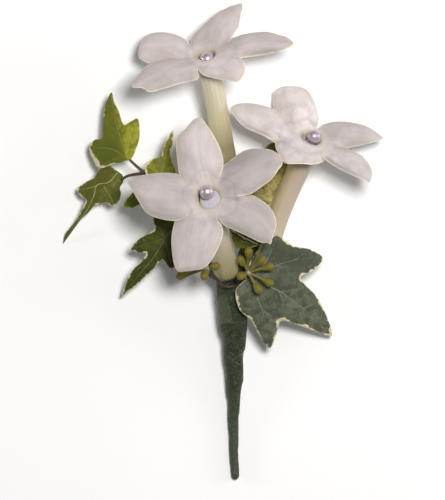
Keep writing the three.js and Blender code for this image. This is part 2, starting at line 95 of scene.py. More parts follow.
# The florets. throat and faces: middle of the mouth and the way it looks; ring: half width of
# the throat; cup and lean: how far out of the mouth the lobes start, and how much further they
# do on the side nearer the camera; cotton: half width of the plug; plug and pearl: how far the
# two are shifted; base and leaves: round end of the tube and the way it runs there; wire_end:
# how far down the wire reaches; tube: its colours along its length; flank: colour and cover of
# the painted shade on its left side. A lobe has its tip, its tone (painted light and shade that
# makes the whole lobe lighter or darker for the way it faces the light), its full width, the arch
# and sway of its middle line, its roll about that line in degrees, its ribs, its curl at the tip,
# its wave along the rim, its folds (side, place across at root and tip, fall beyond), and its outline.
FLORETS = {
    "top": {
        "throat": (-3.6, 47.1, 17.5), "faces": (-0.19, 0.8, 0.57), "ring": 2.0, "cup": 3.7, "lean": 0.2,
        "cotton": 1.9, "plug": (0, -0.3, -0.4), "pearl": (0.1, -0.7, 0.5),
        "base": (1.2, 17.0, 6.6), "leaves": (0.14, -0.95, -0.28), "wire_end": -30,
        "tube": [
            (0.0, (0.74, 0.68, 0.58)), (0.25, (0.7, 0.63, 0.48)), (0.5, (0.6, 0.53, 0.34)),
            (0.72, (0.28, 0.24, 0.12)), (1.0, (0.28, 0.25, 0.1)),
        ],
        "flank": ((0.5, 0.46, 0.26), 0.35),
        "lobes": [
            {"tip": (5.3, 64.4, 2.4), "tone": 0.95, "width": 11.5, "arch": 2.5, "sway": -1.2, "roll": 12,
             "rib": 0.06, "curl": -0.3, "wave": 0.1, "folds": [(1, 2.2, 0.4, 0.18), (-1, -2.2, -0.6, 0.15)],
             "outline": [
                 (-8.5, 52.5), (-8.0, 55.6), (-6.3, 57.5), (-0.9, 62.4), (0.7, 63.1), (2.0, 63.9),
                 (3.4, 64.3), (5.2, 64.8), (5.5, 63.3), (5.1, 62.0), (4.3, 57.9), (2.8, 55.8), (1.5, 53.3),
             ]},
            {"tip": (19.0, 53.5, 19.5), "tone": 0.9, "width": 7.8, "arch": 1.5, "sway": -1.4, "roll": 18,
             "rib": 0.05, "curl": -0.5, "wave": 0.15, "folds": [(1, 1.0, 0.6, 0.22)],
             "outline": [
                 (1.5, 53.3), (2.3, 54.8), (3.6, 55.2), (5.0, 55.8), (11.7, 56.6), (15.0, 55.8),
                 (17.7, 54.9), (19.2, 53.2), (16.1, 51.4), (7.2, 49.7), (3.9, 49.4),
             ]},
            {"tip": (4.6, 44.0, 28.0), "tone": 1.12, "width": 10.5, "arch": 0.3, "sway": -0.2, "roll": 15,
             "rib": 0.05, "curl": -0.2, "wave": 0.2, "folds": [],
             "outline": [
                 (3.6, 49.7), (4.7, 49.5), (5.9, 47.7), (5.9, 45.2), (4.2, 42.8), (1.8, 43.1), (-5.3, 44.8),
                 (-6.5, 46.4),
             ]},
            {"tip": (-24.0, 42.4, 25.5), "tone": 0.87, "width": 11.0, "arch": 1.0, "sway": 0.7, "roll": -16,
             "rib": 0.04, "curl": 0.2, "wave": 0.3, "folds": [(1, 1.5, 1.0, 0.15)],
             "outline": [
                 (-6.5, 46.6), (-6.6, 45.8), (-6.4, 43.9), (-10.9, 42.5), (-16.6, 40.8), (-19.6, 40.1),
                 (-21.7, 41.2), (-24.0, 41.3), (-24.4, 42.0), (-21.5, 46.3), (-19.0, 48.1), (-14.2, 49.4),
                 (-8.8, 48.9),
             ]},
            {"tip": (-22.8, 53.3, 10.0), "tone": 1.1, "width": 11.5, "arch": 2.0, "sway": 0.7, "roll": -14,
             "rib": 0.04, "curl": 0.0, "wave": 0.2, "folds": [(-1, -2.6, -1.0, 0.25)],
             "outline": [
                 (-8.8, 48.6), (-14.5, 47.6), (-16.9, 47.9), (-19.0, 48.0), (-22.6, 49.8), (-21.2, 55.4),
                 (-16.9, 56.7), (-10.9, 55.2), (-8.4, 52.8),
             ]},
        ],
    },
    "right": {
        "throat": (23.3, 26.0, 17.0), "faces": (0.3, 0.76, 0.57), "ring": 2.3, "cup": 2.3, "lean": -0.2,
        "cotton": 2.3, "plug": (-0.45, -0.55, 1.1), "pearl": (0.3, -0.35, 0.8),
        "base": (11.0, -5.2, 6.0), "leaves": (-0.22, -0.95, -0.2), "wire_end": -38,
        "tube": [
            (0.0, (0.6, 0.53, 0.45)), (0.3, (0.55, 0.45, 0.36)), (0.6, (0.53, 0.43, 0.33)),
            (1.0, (0.58, 0.51, 0.34)),
        ],
        "flank": ((0.36, 0.28, 0.1), 0.75),
        "lobes": [
            {"tip": (18.2, 42.3, 0.4), "tone": 1.24, "width": 12.4, "arch": 2.5, "sway": -0.3, "roll": -16,
             "rib": 0.05, "curl": 0.0, "wave": 0.1, "folds": [(1, 2.6, 2.6, 0.18), (-1, -2.8, -3.4, 0.18)],
             "outline": [
                 (17.4, 31.7), (14.2, 34.7), (13.7, 40.1), (14.2, 40.9), (16.6, 42.2), (21.5, 41.9),
                 (23.5, 40.6), (26.0, 33.9), (25.7, 31.2), (25.2, 30.4),
             ]},
            {"tip": (2.2, 35.8, 16.0), "tone": 1.03, "width": 10.6, "arch": 1.5, "sway": 0, "roll": -15,
             "rib": 0.05, "curl": -0.3, "wave": 0.2, "folds": [],
             "outline": [
                 (14.7, 26.2), (13.6, 26.9), (11.2, 28.4), (5.3, 31.3), (2.2, 35.9), (3.4, 37.0),
                 (8.2, 37.3), (14.2, 35.5), (17.4, 32.5), (18.2, 30.9),
             ]},
            {"tip": (19.4, 21.0, 27.0), "tone": 1.02, "width": 13.0, "arch": 0.3, "sway": 0, "roll": 0,
             "rib": 0.05, "curl": 0.0, "wave": 0.2, "folds": [],
             "outline": [
                 (26.6, 24.2), (26.7, 23.2), (27.4, 21.8), (24.7, 20.7), (21.5, 20.8), (16.6, 21.1),
                 (15.4, 22.8), (14.2, 25.5), (14.4, 26.7), (15.3, 27.4),
             ]},
            {"tip": (39.8, 15.7, 22.5), "tone": 0.88, "width": 9.0, "arch": 1.0, "sway": -0.9, "roll": 10,
             "rib": 0.05, "curl": -0.2, "wave": 0.2, "folds": [(-1, -0.6, -0.8, 0.14)],
             "outline": [
                 (30.6, 26.3), (37.7, 23.1), (38.6, 22.0), (39.6, 20.8), (40.4, 18.2), (39.4, 15.5),
                 (38.7, 16.1), (30.9, 19.8), (26.3, 23.4),
             ]},
            {"tip": (43.3, 28.2, 9.0), "tone": 0.83, "width": 11.0, "arch": 2.0, "sway": 0, "roll": 10,
             "rib": 0.05, "curl": 0.0, "wave": 0.2, "folds": [(1, 0.6, 0.8, 0.2)],
             "outline": [
                 (25.8, 30.4), (26.9, 31.5), (31.7, 32.5), (39.0, 31.2), (43.1, 28.5), (43.6, 28.1),
                 (42.8, 27.5), (36.0, 25.7), (31.2, 25.0),
             ]},
        ],
    },
    "front": {
        "throat": (-3.6, 11.4, 31.5), "faces": (-0.16, 0.4, 0.9), "ring": 2.62, "cup": 0.5, "lean": 0.0,
        "cotton": 2.9, "plug": (0.4, -0.4, 0.1), "pearl": (0.0, 0.4, -0.1),
        "base": (1.3, -10.0, 12.2), "leaves": (0.12, -0.9, -0.42), "wire_end": -58,
        "tube": [
            (0.0, (0.7, 0.64, 0.52)), (0.5, (0.56, 0.5, 0.38)), (0.8, (0.36, 0.31, 0.19)),
            (0.93, (0.3, 0.28, 0.11)), (1.0, (0.18, 0.2, 0.04)),
        ],
        "flank": ((0.5, 0.47, 0.27), 0.25),
        "lobes": [
            {"tip": (-6.4, 33.1, 28.5), "tone": 1.04, "width": 11.8, "arch": 2.2, "sway": -0.9, "roll": 0,
             "rib": 0.1, "curl": 0.0, "wave": 0.1, "folds": [(1, 3.2, 0.8, 0.34), (-1, -3.0, -2.4, 0.26)],
             "outline": [
                 (-9.0, 15.4), (-11.5, 18.0), (-12.0, 20.7), (-12.2, 27.9), (-9.9, 30.4), (-7.7, 32.8),
                 (-6.6, 33.2), (-5.8, 33.1), (-0.5, 24.7), (0.2, 19.8), (-1.2, 17.1),
             ]},
            {"tip": (16.3, 21.2, 29.5), "tone": 0.77, "width": 10.8, "arch": 1.8, "sway": -1.0, "roll": 0,
             "rib": 0.05, "curl": -0.3, "wave": 0.15, "folds": [(-1, -1.2, -1.0, 0.22)],
             "outline": [
                 (-1.5, 17.4), (0.3, 20.4), (1.5, 21.3), (6.6, 24.7), (13.9, 24.2), (16.1, 21.1),
                 (14.7, 18.8), (12.8, 16.3), (11.5, 15.4), (7.3, 12.6), (3.9, 12.3),
             ]},
            {"tip": (13.0, -0.5, 30.0), "tone": 0.79, "width": 10.4, "arch": 1.5, "sway": -2.0, "roll": 0,
             "rib": 0.04, "curl": 0.5, "wave": 0.2, "folds": [],
             "outline": [
                 (4.2, 12.8), (5.8, 12.9), (8.5, 12.2), (12.3, 9.6), (13.9, 7.2), (14.4, 4.5), (13.5, 1.2),
                 (12.8, -0.8), (12.0, -0.4), (10.7, -0.4), (5.8, 1.8), (-0.1, 4.7), (-0.9, 5.9),
             ]},
            {"tip": (-9.4, -7.6, 29.5), "tone": 1.02, "width": 12.8, "arch": 1.5, "sway": 0.4, "roll": 0,
             "rib": 0.1, "curl": 0.3, "wave": 0.3, "folds": [(1, 3.4, 2.4, 0.2)],
             "outline": [
                 (-1.2, 5.5), (-0.4, 4.6), (0.2, 2.3), (-3.1, -5.3), (-5.3, -7.3), (-8.8, -7.8),
                 (-12.0, -8.0), (-13.6, -2.3), (-13.4, 3.1), (-12.0, 6.6), (-8.5, 8.2),
             ]},
            {"tip": (-25.0, 16.3, 28.5), "tone": 0.88, "width": 12.2, "arch": 1.8, "sway": -2.2, "roll": 0,
             "rib": 0.04, "curl": -0.4, "wave": 0.2, "folds": [(-1, -2.0, -1.0, 0.18)],
             "outline": [
                 (-8.8, 7.6), (-11.7, 5.6), (-18.5, 6.6), (-20.9, 8.2), (-21.7, 9.5), (-25.1, 15.1),
                 (-25.7, 15.9), (-21.2, 17.8), (-12.6, 18.2), (-10.1, 17.0), (-9.3, 15.9),
             ]},
        ],
    },
}
COTTON_HEIGHT = 1.2
COTTON_DEPTH = 5.2
PEARL_RADIUS = 1.95

# Half width of a floret's tube, and the share of its length
TUBE_PROFILE = [
    (3.3, 0.0), (3.3, 0.05), (3.15, 0.14), (2.95, 0.35), (3.0, 0.6), (3.3, 0.8), (3.45, 0.88),
    (3.1, 0.95), (2.0, 0.99),
]

# Half width of a cotton plug as a share of its full one, and the share of its length
COTTON_PROFILE = [
    (0.0, 0.0), (0.5, 0.015), (0.8, 0.045), (0.98, 0.1), (1.04, 0.16), (0.95, 0.4), (0.75, 0.7),
    (0.4, 0.97), (0.0, 1.0),
]

# The ivy leaves. heart: where the stalk joins the blade; lean: its rise to the right and towards
# the top; droop: how fast it falls away from the heart; foot: where a sprig's stalk ends; fold:
# lines beyond which the blade drops, and how much painted shade its dropped side takes; dim:
# spots of painted shade, with amount and reach; veins: lines with the width at their start;
# cream: spots where the pale margin is wider.
LEAVES = {
    "upper_left": {
        "heart": (-27.9, 24.7, 10.5), "lean": (0.1, -0.12), "droop": 0.006, "foot": (-25.7, 22.8, 10.6),
        "fold": [((-30.1, 40.4), (-25.9, 22.9), 0.35, 0.82)], "dim": [((-31.5, 24.0), 0.25, 3.5)],
        "outline": [
            (-30.1, 40.4), (-29.4, 37.9), (-28.2, 35.5), (-26.6, 31.6), (-24.8, 32.5), (-23.1, 33.3),
            (-22.4, 29.0), (-23.2, 25.5), (-24.8, 22.3), (-26.7, 21.6), (-29.0, 21.1), (-33.5, 19.9),
            (-35.0, 22.0), (-36.1, 25.4), (-34.6, 27.6), (-32.8, 28.0), (-32.4, 30.8), (-32.0, 36.3),
        ],
        "veins": [
            (0.5, [(-25.9, 22.9), (-27.6, 28.0), (-29.2, 34.0), (-30.1, 39.8)]),
            (0.35, [(-25.9, 22.9), (-25.0, 27.5), (-23.5, 32.6)]),
            (0.35, [(-25.9, 22.9), (-30.5, 25.2), (-35.6, 25.3)]),
            (0.3, [(-25.9, 22.9), (-29.6, 22.2), (-33.2, 20.5)]),
            (0.2, [(-29.0, 29.2), (-27.6, 31.4), (-27.0, 33.4)]),
            (0.2, [(-29.3, 30.6), (-31.0, 31.8), (-31.9, 33.6)]),
        ],
        "cream": [
            ((-34.6, 21.2), 1.0, 3.0), ((-30.1, 40.4), -0.5, 5.0), ((-26.6, 31.6), -0.4, 3.0),
        ],
    },
    "curled_left": {
        "heart": (-32.0, 14.7, 7.6), "lean": (0.06, 0.05), "droop": 0.016, "foot": (-27.2, 16.7, 8.9),
        "fold": [((-30.8, 16.1), (-37.1, 8.0), 0.3, 0.35)],
        "outline": [
            (-33.1, 20.5), (-31.2, 20.8), (-28.1, 18.8), (-27.1, 18.0), (-26.9, 16.2), (-27.8, 14.7),
            (-27.5, 13.0), (-28.1, 11.0), (-29.5, 9.5), (-30.4, 9.6), (-31.3, 10.6), (-34.9, 9.6),
            (-36.2, 8.0), (-39.2, 5.3), (-40.2, 4.0), (-42.0, 2.2), (-43.4, -0.7), (-42.5, 2.4),
            (-40.6, 4.2), (-39.8, 5.8), (-38.7, 7.4), (-37.6, 9.9), (-36.9, 11.7), (-37.9, 11.9),
            (-39.4, 13.6), (-39.3, 14.4), (-36.3, 16.6), (-35.0, 17.1), (-33.9, 18.8),
        ],
        "veins": [
            (0.24, [(-28.5, 18.6), (-30.8, 16.1), (-34.0, 15.3), (-34.9, 12.3), (-37.1, 8.0), (-39.4, 5.6),
                    (-43.2, -0.3)]),
            (0.15, [(-32.0, 14.7), (-30.4, 12.2), (-29.4, 9.9)]),
            (0.15, [(-33.9, 15.2), (-36.6, 14.4), (-39.2, 14.0)]),
        ],
        "cream": [
            ((-29.5, 9.5), 0.6, 1.4), ((-39.4, 13.6), 0.3, 1.6), ((-37.4, 9.4), 0.3, 1.2),
            ((-42.0, 2.0), -1.2, 3.6),
        ],
    },
    "mid_left": {
        "heart": (-16.6, 18.2, 13.0), "lean": (0.05, -0.15), "droop": 0.006,
        "dim": [((-15.5, 23.0), 0.6, 6.0), ((-22.0, 13.0), 0.4, 5.0)],
        "outline": [
            (-13.4, 30.1), (-15.0, 27.7), (-16.2, 25.0), (-16.6, 23.1), (-19.0, 22.3), (-21.1, 20.4),
            (-20.7, 17.7), (-22.3, 15.0), (-24.7, 12.8), (-27.1, 9.6), (-24.7, 9.0), (-22.3, 10.1),
            (-19.6, 11.7), (-16.9, 12.8), (-14.2, 13.9), (-11.5, 15.0), (-12.6, 18.8), (-13.8, 22.5),
            (-13.5, 26.3),
        ],
        "veins": [
            (0.4, [(-16.6, 18.2), (-15.3, 23.0), (-14.0, 27.5), (-13.5, 29.6)]),
            (0.35, [(-16.6, 18.2), (-18.8, 19.6), (-20.8, 20.2)]),
            (0.35, [(-16.6, 18.2), (-20.4, 14.8), (-24.4, 11.0), (-26.6, 9.7)]),
            (0.3, [(-16.6, 18.2), (-14.0, 16.8), (-11.9, 15.4)]),
        ],
        "cream": [((-21.1, 20.4), 0.6, 2.5), ((-27.1, 9.6), 0.4, 2.5)],
    },
    "lower_left": {
        "heart": (-15.5, 0.9, 13.0), "lean": (0.1, 0.05), "droop": 0.018,
        "outline": [
            (-27.4, -15.0), (-26.6, -12.3), (-25.1, -8.8), (-21.7, -5.0), (-20.7, -3.3), (-22.8, -2.9),
            (-24.7, -2.0), (-22.5, 0.7), (-18.6, 3.4), (-18.8, 6.3), (-15.3, 8.2), (-10.9, 6.6),
            (-7.6, 2.6), (-7.4, -2.3), (-11.0, -5.6), (-14.0, -7.2), (-16.2, -4.9), (-18.6, -7.2),
            (-21.5, -10.2), (-24.4, -12.7),
        ],
        "veins": [
            (0.4, [(-15.5, 0.9), (-18.4, -4.0), (-22.6, -9.0), (-27.0, -14.4)]),
            (0.3, [(-15.5, 0.9), (-20.0, -0.4), (-24.2, -1.9)]),
            (0.3, [(-15.5, 0.9), (-17.0, 4.0), (-18.3, 5.9)]),
            (0.3, [(-15.5, 0.9), (-13.0, 4.2), (-11.2, 6.2)]),
            (0.3, [(-15.5, 0.9), (-14.6, -3.4), (-14.0, -6.8)]),
            (0.2, [(-20.0, -6.0), (-22.4, -7.0), (-24.4, -8.8)]),
        ],
        "cream": [
            ((-20.7, -3.3), 0.6, 1.2), ((-18.6, 3.4), 0.6, 1.2), ((-27.4, -15.0), 0.3, 2.0),
        ],
    },
    "lower_right": {
        "heart": (9.2, -9.4, 15.4), "lean": (-0.02, 0.02), "droop": 0.016,
        "dim": [((14.0, -2.0), 0.7, 4.5), ((21.0, -5.0), 0.85, 5.0), ((15.0, -12.0), 0.4, 4.0)],
        "outline": [
            (3.6, -13.1), (4.6, -18.4), (7.6, -21.2), (10.4, -26.1), (12.8, -28.8), (14.6, -25.0),
            (15.8, -21.5), (19.6, -22.3), (25.0, -24.3), (29.6, -25.6), (28.5, -20.9), (25.5, -15.0),
            (21.1, -9.8), (24.2, -8.0), (27.3, -4.7), (23.9, -2.2), (19.0, -1.1), (17.2, 0.2), (15.0, 1.6),
            (12.6, 0.8), (10.8, -0.2), (9.3, -2.6), (7.6, -5.2), (6.7, -7.4), (6.3, -9.8),
        ],
        "veins": [
            (0.34, [(9.2, -9.4), (13.1, -12.3), (15.8, -13.6), (22.0, -18.2), (29.4, -25.2)]),
            (0.28, [(9.2, -9.4), (14.2, -6.6), (20.9, -4.7), (26.8, -4.5)]),
            (0.28, [(9.2, -9.4), (9.6, -15.3), (10.7, -18.2), (11.7, -22.5), (12.6, -28.2)]),
            (0.3, [(9.2, -9.4), (12.2, -4.6), (14.7, 1.0)]),
            (0.3, [(9.2, -9.4), (5.8, -12.0), (4.0, -13.2)]),
            (0.25, [(15.8, -13.6), (19.0, -13.0), (22.3, -12.0)]),
            (0.25, [(22.0, -18.1), (24.4, -17.0), (26.1, -16.3)]),
            (0.25, [(15.2, -13.4), (16.1, -15.3), (16.6, -19.3), (17.2, -21.0)]),
            (0.22, [(10.7, -18.2), (12.4, -19.6), (14.2, -20.4)]),
            (0.22, [(14.6, -6.4), (16.3, -7.2), (18.5, -8.8), (21.0, -9.4)]),
            (0.22, [(9.6, -15.3), (7.4, -17.4), (5.4, -18.6)]),
            (0.2, [(20.6, -17.2), (21.4, -20.4), (22.8, -22.8)]),
            (0.2, [(19.4, -5.0), (21.8, -3.4), (23.2, -2.6)]),
        ],
        "cream": [
            ((4.0, -16.0), 0.7, 3.0), ((7.6, -21.2), 0.9, 1.8), ((15.8, -21.5), 1.0, 1.8),
            ((29.6, -25.6), 1.0, 2.2), ((21.1, -9.8), 0.6, 1.5), ((17.2, 0.2), 0.4, 1.5),
            ((22.5, -23.3), 0.5, 2.0),
        ],
    },
    # A blade behind the big leaf, in its shade: it takes the dark green look as painted shade, with no cream
    # margin
    "lower_right_back": {
        "heart": (6.8, -4.6, 13.4), "lean": (0.0, 0.02), "droop": 0.016,
        "outline": [
            (3.9, -9.0), (4.0, -5.6), (4.6, -2.2), (7.5, -0.4), (11.6, 0.8), (12.6, -2.0), (10.4, -6.0),
            (8.4, -9.6), (5.6, -10.6),
        ],
        "veins": [
            (0.2, [(6.8, -4.6), (9.2, -2.2)]),
        ],
        "cream": [((7.0, -4.0), -0.8, 9.0)],
    },
    "centre": {
        "heart": (5.0, 0.2, 20.0), "lean": (0.15, 0.35), "droop": 0.02,
        "outline": [
            (2.2, 3.1), (4.4, 2.0), (6.4, 0.9), (8.1, 0.0), (9.9, -0.9), (8.0, -1.6), (6.0, -1.9),
            (4.0, -1.7), (3.0, -0.3), (2.3, 1.4),
        ],
        "veins": [
            (0.12, [(5.0, 0.2), (7.0, -0.4), (9.2, -0.9)]),
        ],
        "cream": [
            ((3.2, 2.7), 0.5, 1.5), ((6.2, 1.2), 0.55, 1.8), ((9.0, -0.3), 0.5, 1.5),
            ((5.0, -2.2), -0.6, 1.4),
        ],
    },
    # The centre leaf's folded-back half, in deep shade: it takes the dark green look as painted shade, with
    # no cream margin
    "centre_back": {
        "heart": (6.2, 0.9, 18.6), "lean": (0.05, 0.25), "droop": 0.02,
        "outline": [
            (1.9, 3.2), (3.2, 4.6), (6.4, 3.6), (9.6, 1.6), (11.0, -0.2), (9.4, -1.0), (6.0, -0.6),
            (3.4, 0.8),
        ],
        "veins": [
            (0.2, [(6.2, 0.9), (9.2, 0.2)]),
        ],
        "cream": [((6.0, 1.0), -0.8, 9.0)],
    },
    "back": {
        "heart": (11.2, 14.8, 9.0), "lean": (-0.03, -0.08), "droop": 0.012,
        "dim": [((13.5, 26.0), 0.9, 3.6), ((7.8, 13.6), 0.8, 1.8)],
        "outline": [
            (7.4, 9.9), (6.3, 13.9), (8.0, 19.8), (11.3, 25.2), (14.4, 27.1), (16.6, 24.0), (17.8, 19.8),
            (16.8, 15.0), (14.2, 10.0), (10.5, 9.8),
        ],
        "veins": [
            (0.35, [(11.2, 14.8), (12.4, 20.0), (14.2, 26.6)]),
            (0.3, [(11.2, 14.8), (8.6, 14.6), (6.7, 14.0)]),
            (0.3, [(11.2, 14.8), (13.8, 17.0), (15.9, 19.6)]),
        ],
        "cream": [((14.4, 27.1), 0.3, 3.0)],
    },
}

# Routes of the stalks, as in the solids
LEAF_STALKS = {
    "lower_left": [(-8.5, -5.5, 11.0), (-2.0, -10.0, 10.0)],
    "lower_right": [(7.6, -10.6, 12.4), (5.6, -11.0, 9.4)],
    "centre": [(5.8, -3.6, 14.4), (6.0, -7.4, 11.0), (4.2, -10.6, 8.6)],
    "back": [(7.6, 4.0, 4.8), (4.4, -6.0, 4.6)],
}
VINE = [(-5.5, -3.0, 9.6), (-12.5, 8.0, 10.4), (-18.0, 15.5, 11.0), (-21.2, 18.6, 11.0)]
SPRIG_STALKS = {
    "upper_left": [(-21.2, 18.6, 11.0), (-24.2, 21.2, 10.8)],
    "curled_left": [(-21.2, 18.6, 11.0), (-26.0, 17.6, 9.4)],
    "mid_left": [(-15.0, 11.5, 10.7), (-15.9, 14.6, 11.6)],
}
BUD_STALK = [(3.9, -10.9, 12.6), (5.3, -9.4, 16.2), (7.0, -8.4, 18.6)]
BUD_BRANCH = [
    (3.9, -10.9, 12.8), (2.8, -12.1, 13.8), (0.6, -12.0, 14.2), (-2.3, -9.4, 15.8), (-4.0, -7.2, 17.2),
]
UMBEL_RIGHT = [
    (7.0, -2.8, 21.6), (5.0, -5.0, 20.0), (10.5, -5.1, 20.6), (12.6, -6.8, 19.4),
    (12.6, -11.1, 18.6), (9.6, -12.9, 19.0), (5.0, -9.3, 21.0),
]
UMBEL_LEFT = [(-1.9, -6.6, 19.2), (-4.9, -9.3, 18.6), (-11.3, -9.3, 17.8)]
BARE_STALK = (10.4, -0.9, 21.0)

# Half width of a bud and its club, and the distance back from the crown
BUD_PROFILE = [
    (0.74, 2.9), (0.90, 2.4), (1.08, 1.7), (1.12, 1.15), (1.04, 0.85), (0.98, 0.75), (0.86, 0.45),
    (0.50, 0.12), (0.2, 0.01), (0.0, 0.0),
]

# How strongly the veins show in each look of a leaf
VEIN_COVER = {"bright": 0.45, "dark": 0.6, "grey": 0.7, "olive": 1.0, "straw": 0.5}


# Small sums


def clamp(value, low=0.0, high=1.0):
    return max(low, min(high, value))


def smooth(low, high, value):
    """0 below low, 1 above high, and an even slope between them."""
    t = clamp((value - low) / (high - low))
    return t * t * (3 - 2 * t)


def lerp(a, b, t):
    return a + (b - a) * t


def ripple(x, y, seed):
    """Even noise from -1 to 1."""
    return noise.noise(Vector((x, y, seed)))


def past_crease(past, sharpness):
    """A distance past a crease: nothing before it, and growing evenly beyond it."""
    return math.log1p(math.exp(clamp(past * sharpness, -20, 20))) / sharpness


def bezier(a, b, c, d, t):
    """A place on the curve from a to d that sets out towards b and arrives from c."""
    s = 1 - t
    return a * s**3 + b * (3 * s * s * t) + c * (3 * s * t * t) + d * t**3


def spline(points, per_span, closed=False):
    """A centripetal Catmull-Rom line through the points."""
    points = [Vector(p) for p in points]
    count = len(points)
    line = []
    for i in range(count if closed else count - 1):
        second, third = points[i], points[(i + 1) % count]
        first = points[i - 1] if closed or i else 2 * second - third
        fourth = points[(i + 2) % count] if closed or i + 2 < count else 2 * third - second
        near = (second - first).length ** 0.5
        mid = (third - second).length ** 0.5
        far = (fourth - third).length ** 0.5
        leave = ((second - first) / near - (third - first) / (near + mid) + (third - second) / mid) * mid
        arrive = ((third - second) / mid - (fourth - second) / (mid + far) + (fourth - third) / far) * mid
        for k in range(per_span):
            t = k / per_span
            line.append(
                second * (2 * t**3 - 3 * t**2 + 1)
                + leave * (t**3 - 2 * t**2 + t)
                + third * (3 * t**2 - 2 * t**3)
                + arrive * (t**3 - t**2)
            )
    if not closed:
        line.append(points[-1])
    return line


def read_off(pairs):
    """A smooth function of a share through pairs of value and share."""
    line = spline([(share, value) for value, share in pairs], 12)
    shares = [point.x for point in line]

    def value(share):
        k = clamp(bisect.bisect_right(shares, share), 1, len(shares) - 1)
        width = max(shares[k] - shares[k - 1], 1e-9)
        return lerp(line[k - 1].y, line[k].y, clamp((share - shares[k - 1]) / width))

    return value


class Route:
    """A line read by its share of length, with a side direction that doesn't twist along it."""

    def __init__(self, points):
        self.points = [Vector(p) for p in points]
        self.runs = [0.0]
        for a, b in zip(self.points, self.points[1:]):
            self.runs.append(self.runs[-1] + (b - a).length)
        self.length = self.runs[-1]
        last = len(self.points) - 1
        self.ways = [
            (self.points[min(i + 1, last)] - self.points[max(i - 1, 0)]).normalized() for i in range(last + 1)
        ]
        side = self.ways[0].orthogonal().normalized()
        self.sides = []
        for way in self.ways:
            side = (side - way * side.dot(way)).normalized()
            self.sides.append(side)

    def at(self, share):
        run = clamp(share) * self.length
        k = clamp(bisect.bisect_right(self.runs, run), 1, len(self.runs) - 1)
        part = (run - self.runs[k - 1]) / max(self.runs[k] - self.runs[k - 1], 1e-9)
        point = self.points[k - 1].lerp(self.points[k], part)
        way = self.ways[k - 1].lerp(self.ways[k], part).normalized()
        side = self.sides[k - 1].lerp(self.sides[k], part).normalized()
        return point, way, side


def handle_at(y):
    """A point on the handle's axis at a height down the picture, with its half width."""
    below = next((i for i, (at, _) in enumerate(HANDLE) if at[1] < y), len(HANDLE) - 1)
    below = max(1, below)
    (upper, wide), (lower, narrow) = HANDLE[below - 1], HANDLE[below]
    share = (upper[1] - y) / (upper[1] - lower[1])
    return Vector(upper).lerp(Vector(lower), share), lerp(wide, narrow, share)


def in_handle(socket, end):
    """Points of a stem inside the handle, drawing in as the handle narrows."""
    top = HANDLE[0][0][1]
    across, up = SOCKETS[socket]
    steps = max(2, round((top - end) / 6))
    slim = 1.2  # half width of the handle where all stems lie in its middle
    points = []
    for i in range(steps + 1):
        middle, radius = handle_at(lerp(top, end, i / steps))
        narrow = clamp((radius - slim) / (HANDLE[0][1] - slim))
        points.append(middle + Vector((across * narrow, 0, up * narrow)))
    return points


# Meshes


def new_mesh(*layers):
    """An empty bmesh with a UV map and float layers by these names."""
    bm = bmesh.new()
    bm.loops.layers.uv.new("UVMap")
    for name in layers:
        bm.verts.layers.float.new(name)
    return bm


def skin(bm, columns, rows, place, material=0):
    """A grid laid over a surface by place(u, v), which gives a point and the values of layers by name.

    Its seam and poles are closed.
    """
    layers = dict(bm.verts.layers.float.items())
    made = bmesh.ops.create_grid(bm, x_segments=columns, y_segments=rows, size=1.0, calc_uvs=True)
    faces = {face for vert in made["verts"] for face in vert.link_faces}
    for face in faces:
        face.material_index = material
        face.smooth = True
    for vert in made["verts"]:
        point, values = place((vert.co.x + 1) / 2, (vert.co.y + 1) / 2)
        vert.co = point
        for name, value in values.items():
            vert[layers[name]] = value
    bmesh.ops.remove_doubles(bm, verts=made["verts"], dist=1e-4)


def turned(bm, route, radius, sides, shares, values=lambda share, angle: {}, material=0):
    """A skin round a route. radius(share, angle) is its half width, read at these shares."""

    def place(u, v):
        share = shares[round(v * (len(shares) - 1))]
        angle = TURN * (u % 1)
        point, way, side = route.at(share)
        out = side * math.cos(angle) + way.cross(side) * math.sin(angle)
        return point + out * radius(share, angle), values(share, angle)

    skin(bm, sides, len(shares) - 1, place, material)


def even_shares(count, ends=0.0):
    """Shares from 0 to 1 in even steps, with closed ends of that share drawn in by three steps."""
    middle = [lerp(ends, 1 - ends, i / count) for i in range(count + 1)]
    if not ends:
        return middle
    turn = [ends * (1 - math.cos(k / 4 * math.pi / 2)) for k in range(4)]
    return turn + middle + [1 - share for share in reversed(turn)]


def rounded(share, ends):
    """Half width, as a share of the full one, of a rod whose ends are rounded over that share."""
    near = min(share, 1 - share)
    return 1.0 if near >= ends else math.sqrt(max(0.0, 1 - (1 - near / ends) ** 2))


def finish_piece(bm, name, materials, nodes):
    """Closes a bmesh into an object that rides on the part and stands for these solids."""
    bmesh.ops.dissolve_degenerate(bm, dist=1e-5, edges=bm.edges)
    bmesh.ops.holes_fill(bm, edges=[edge for edge in bm.edges if edge.is_boundary], sides=0)
    bmesh.ops.recalc_face_normals(bm, faces=bm.faces)
    bmesh.ops.scale(bm, vec=(MM, MM, MM), verts=bm.verts)
    mesh = bpy.data.meshes.new(name)
    bm.to_mesh(mesh)
    bm.free()
    for material in materials:
        mesh.materials.append(material)
    obj = bpy.data.objects.new(name, mesh)
    bpy.context.scene.collection.objects.link(obj)
    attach(obj, BODY)
    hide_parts(*nodes)
    return obj


# Materials


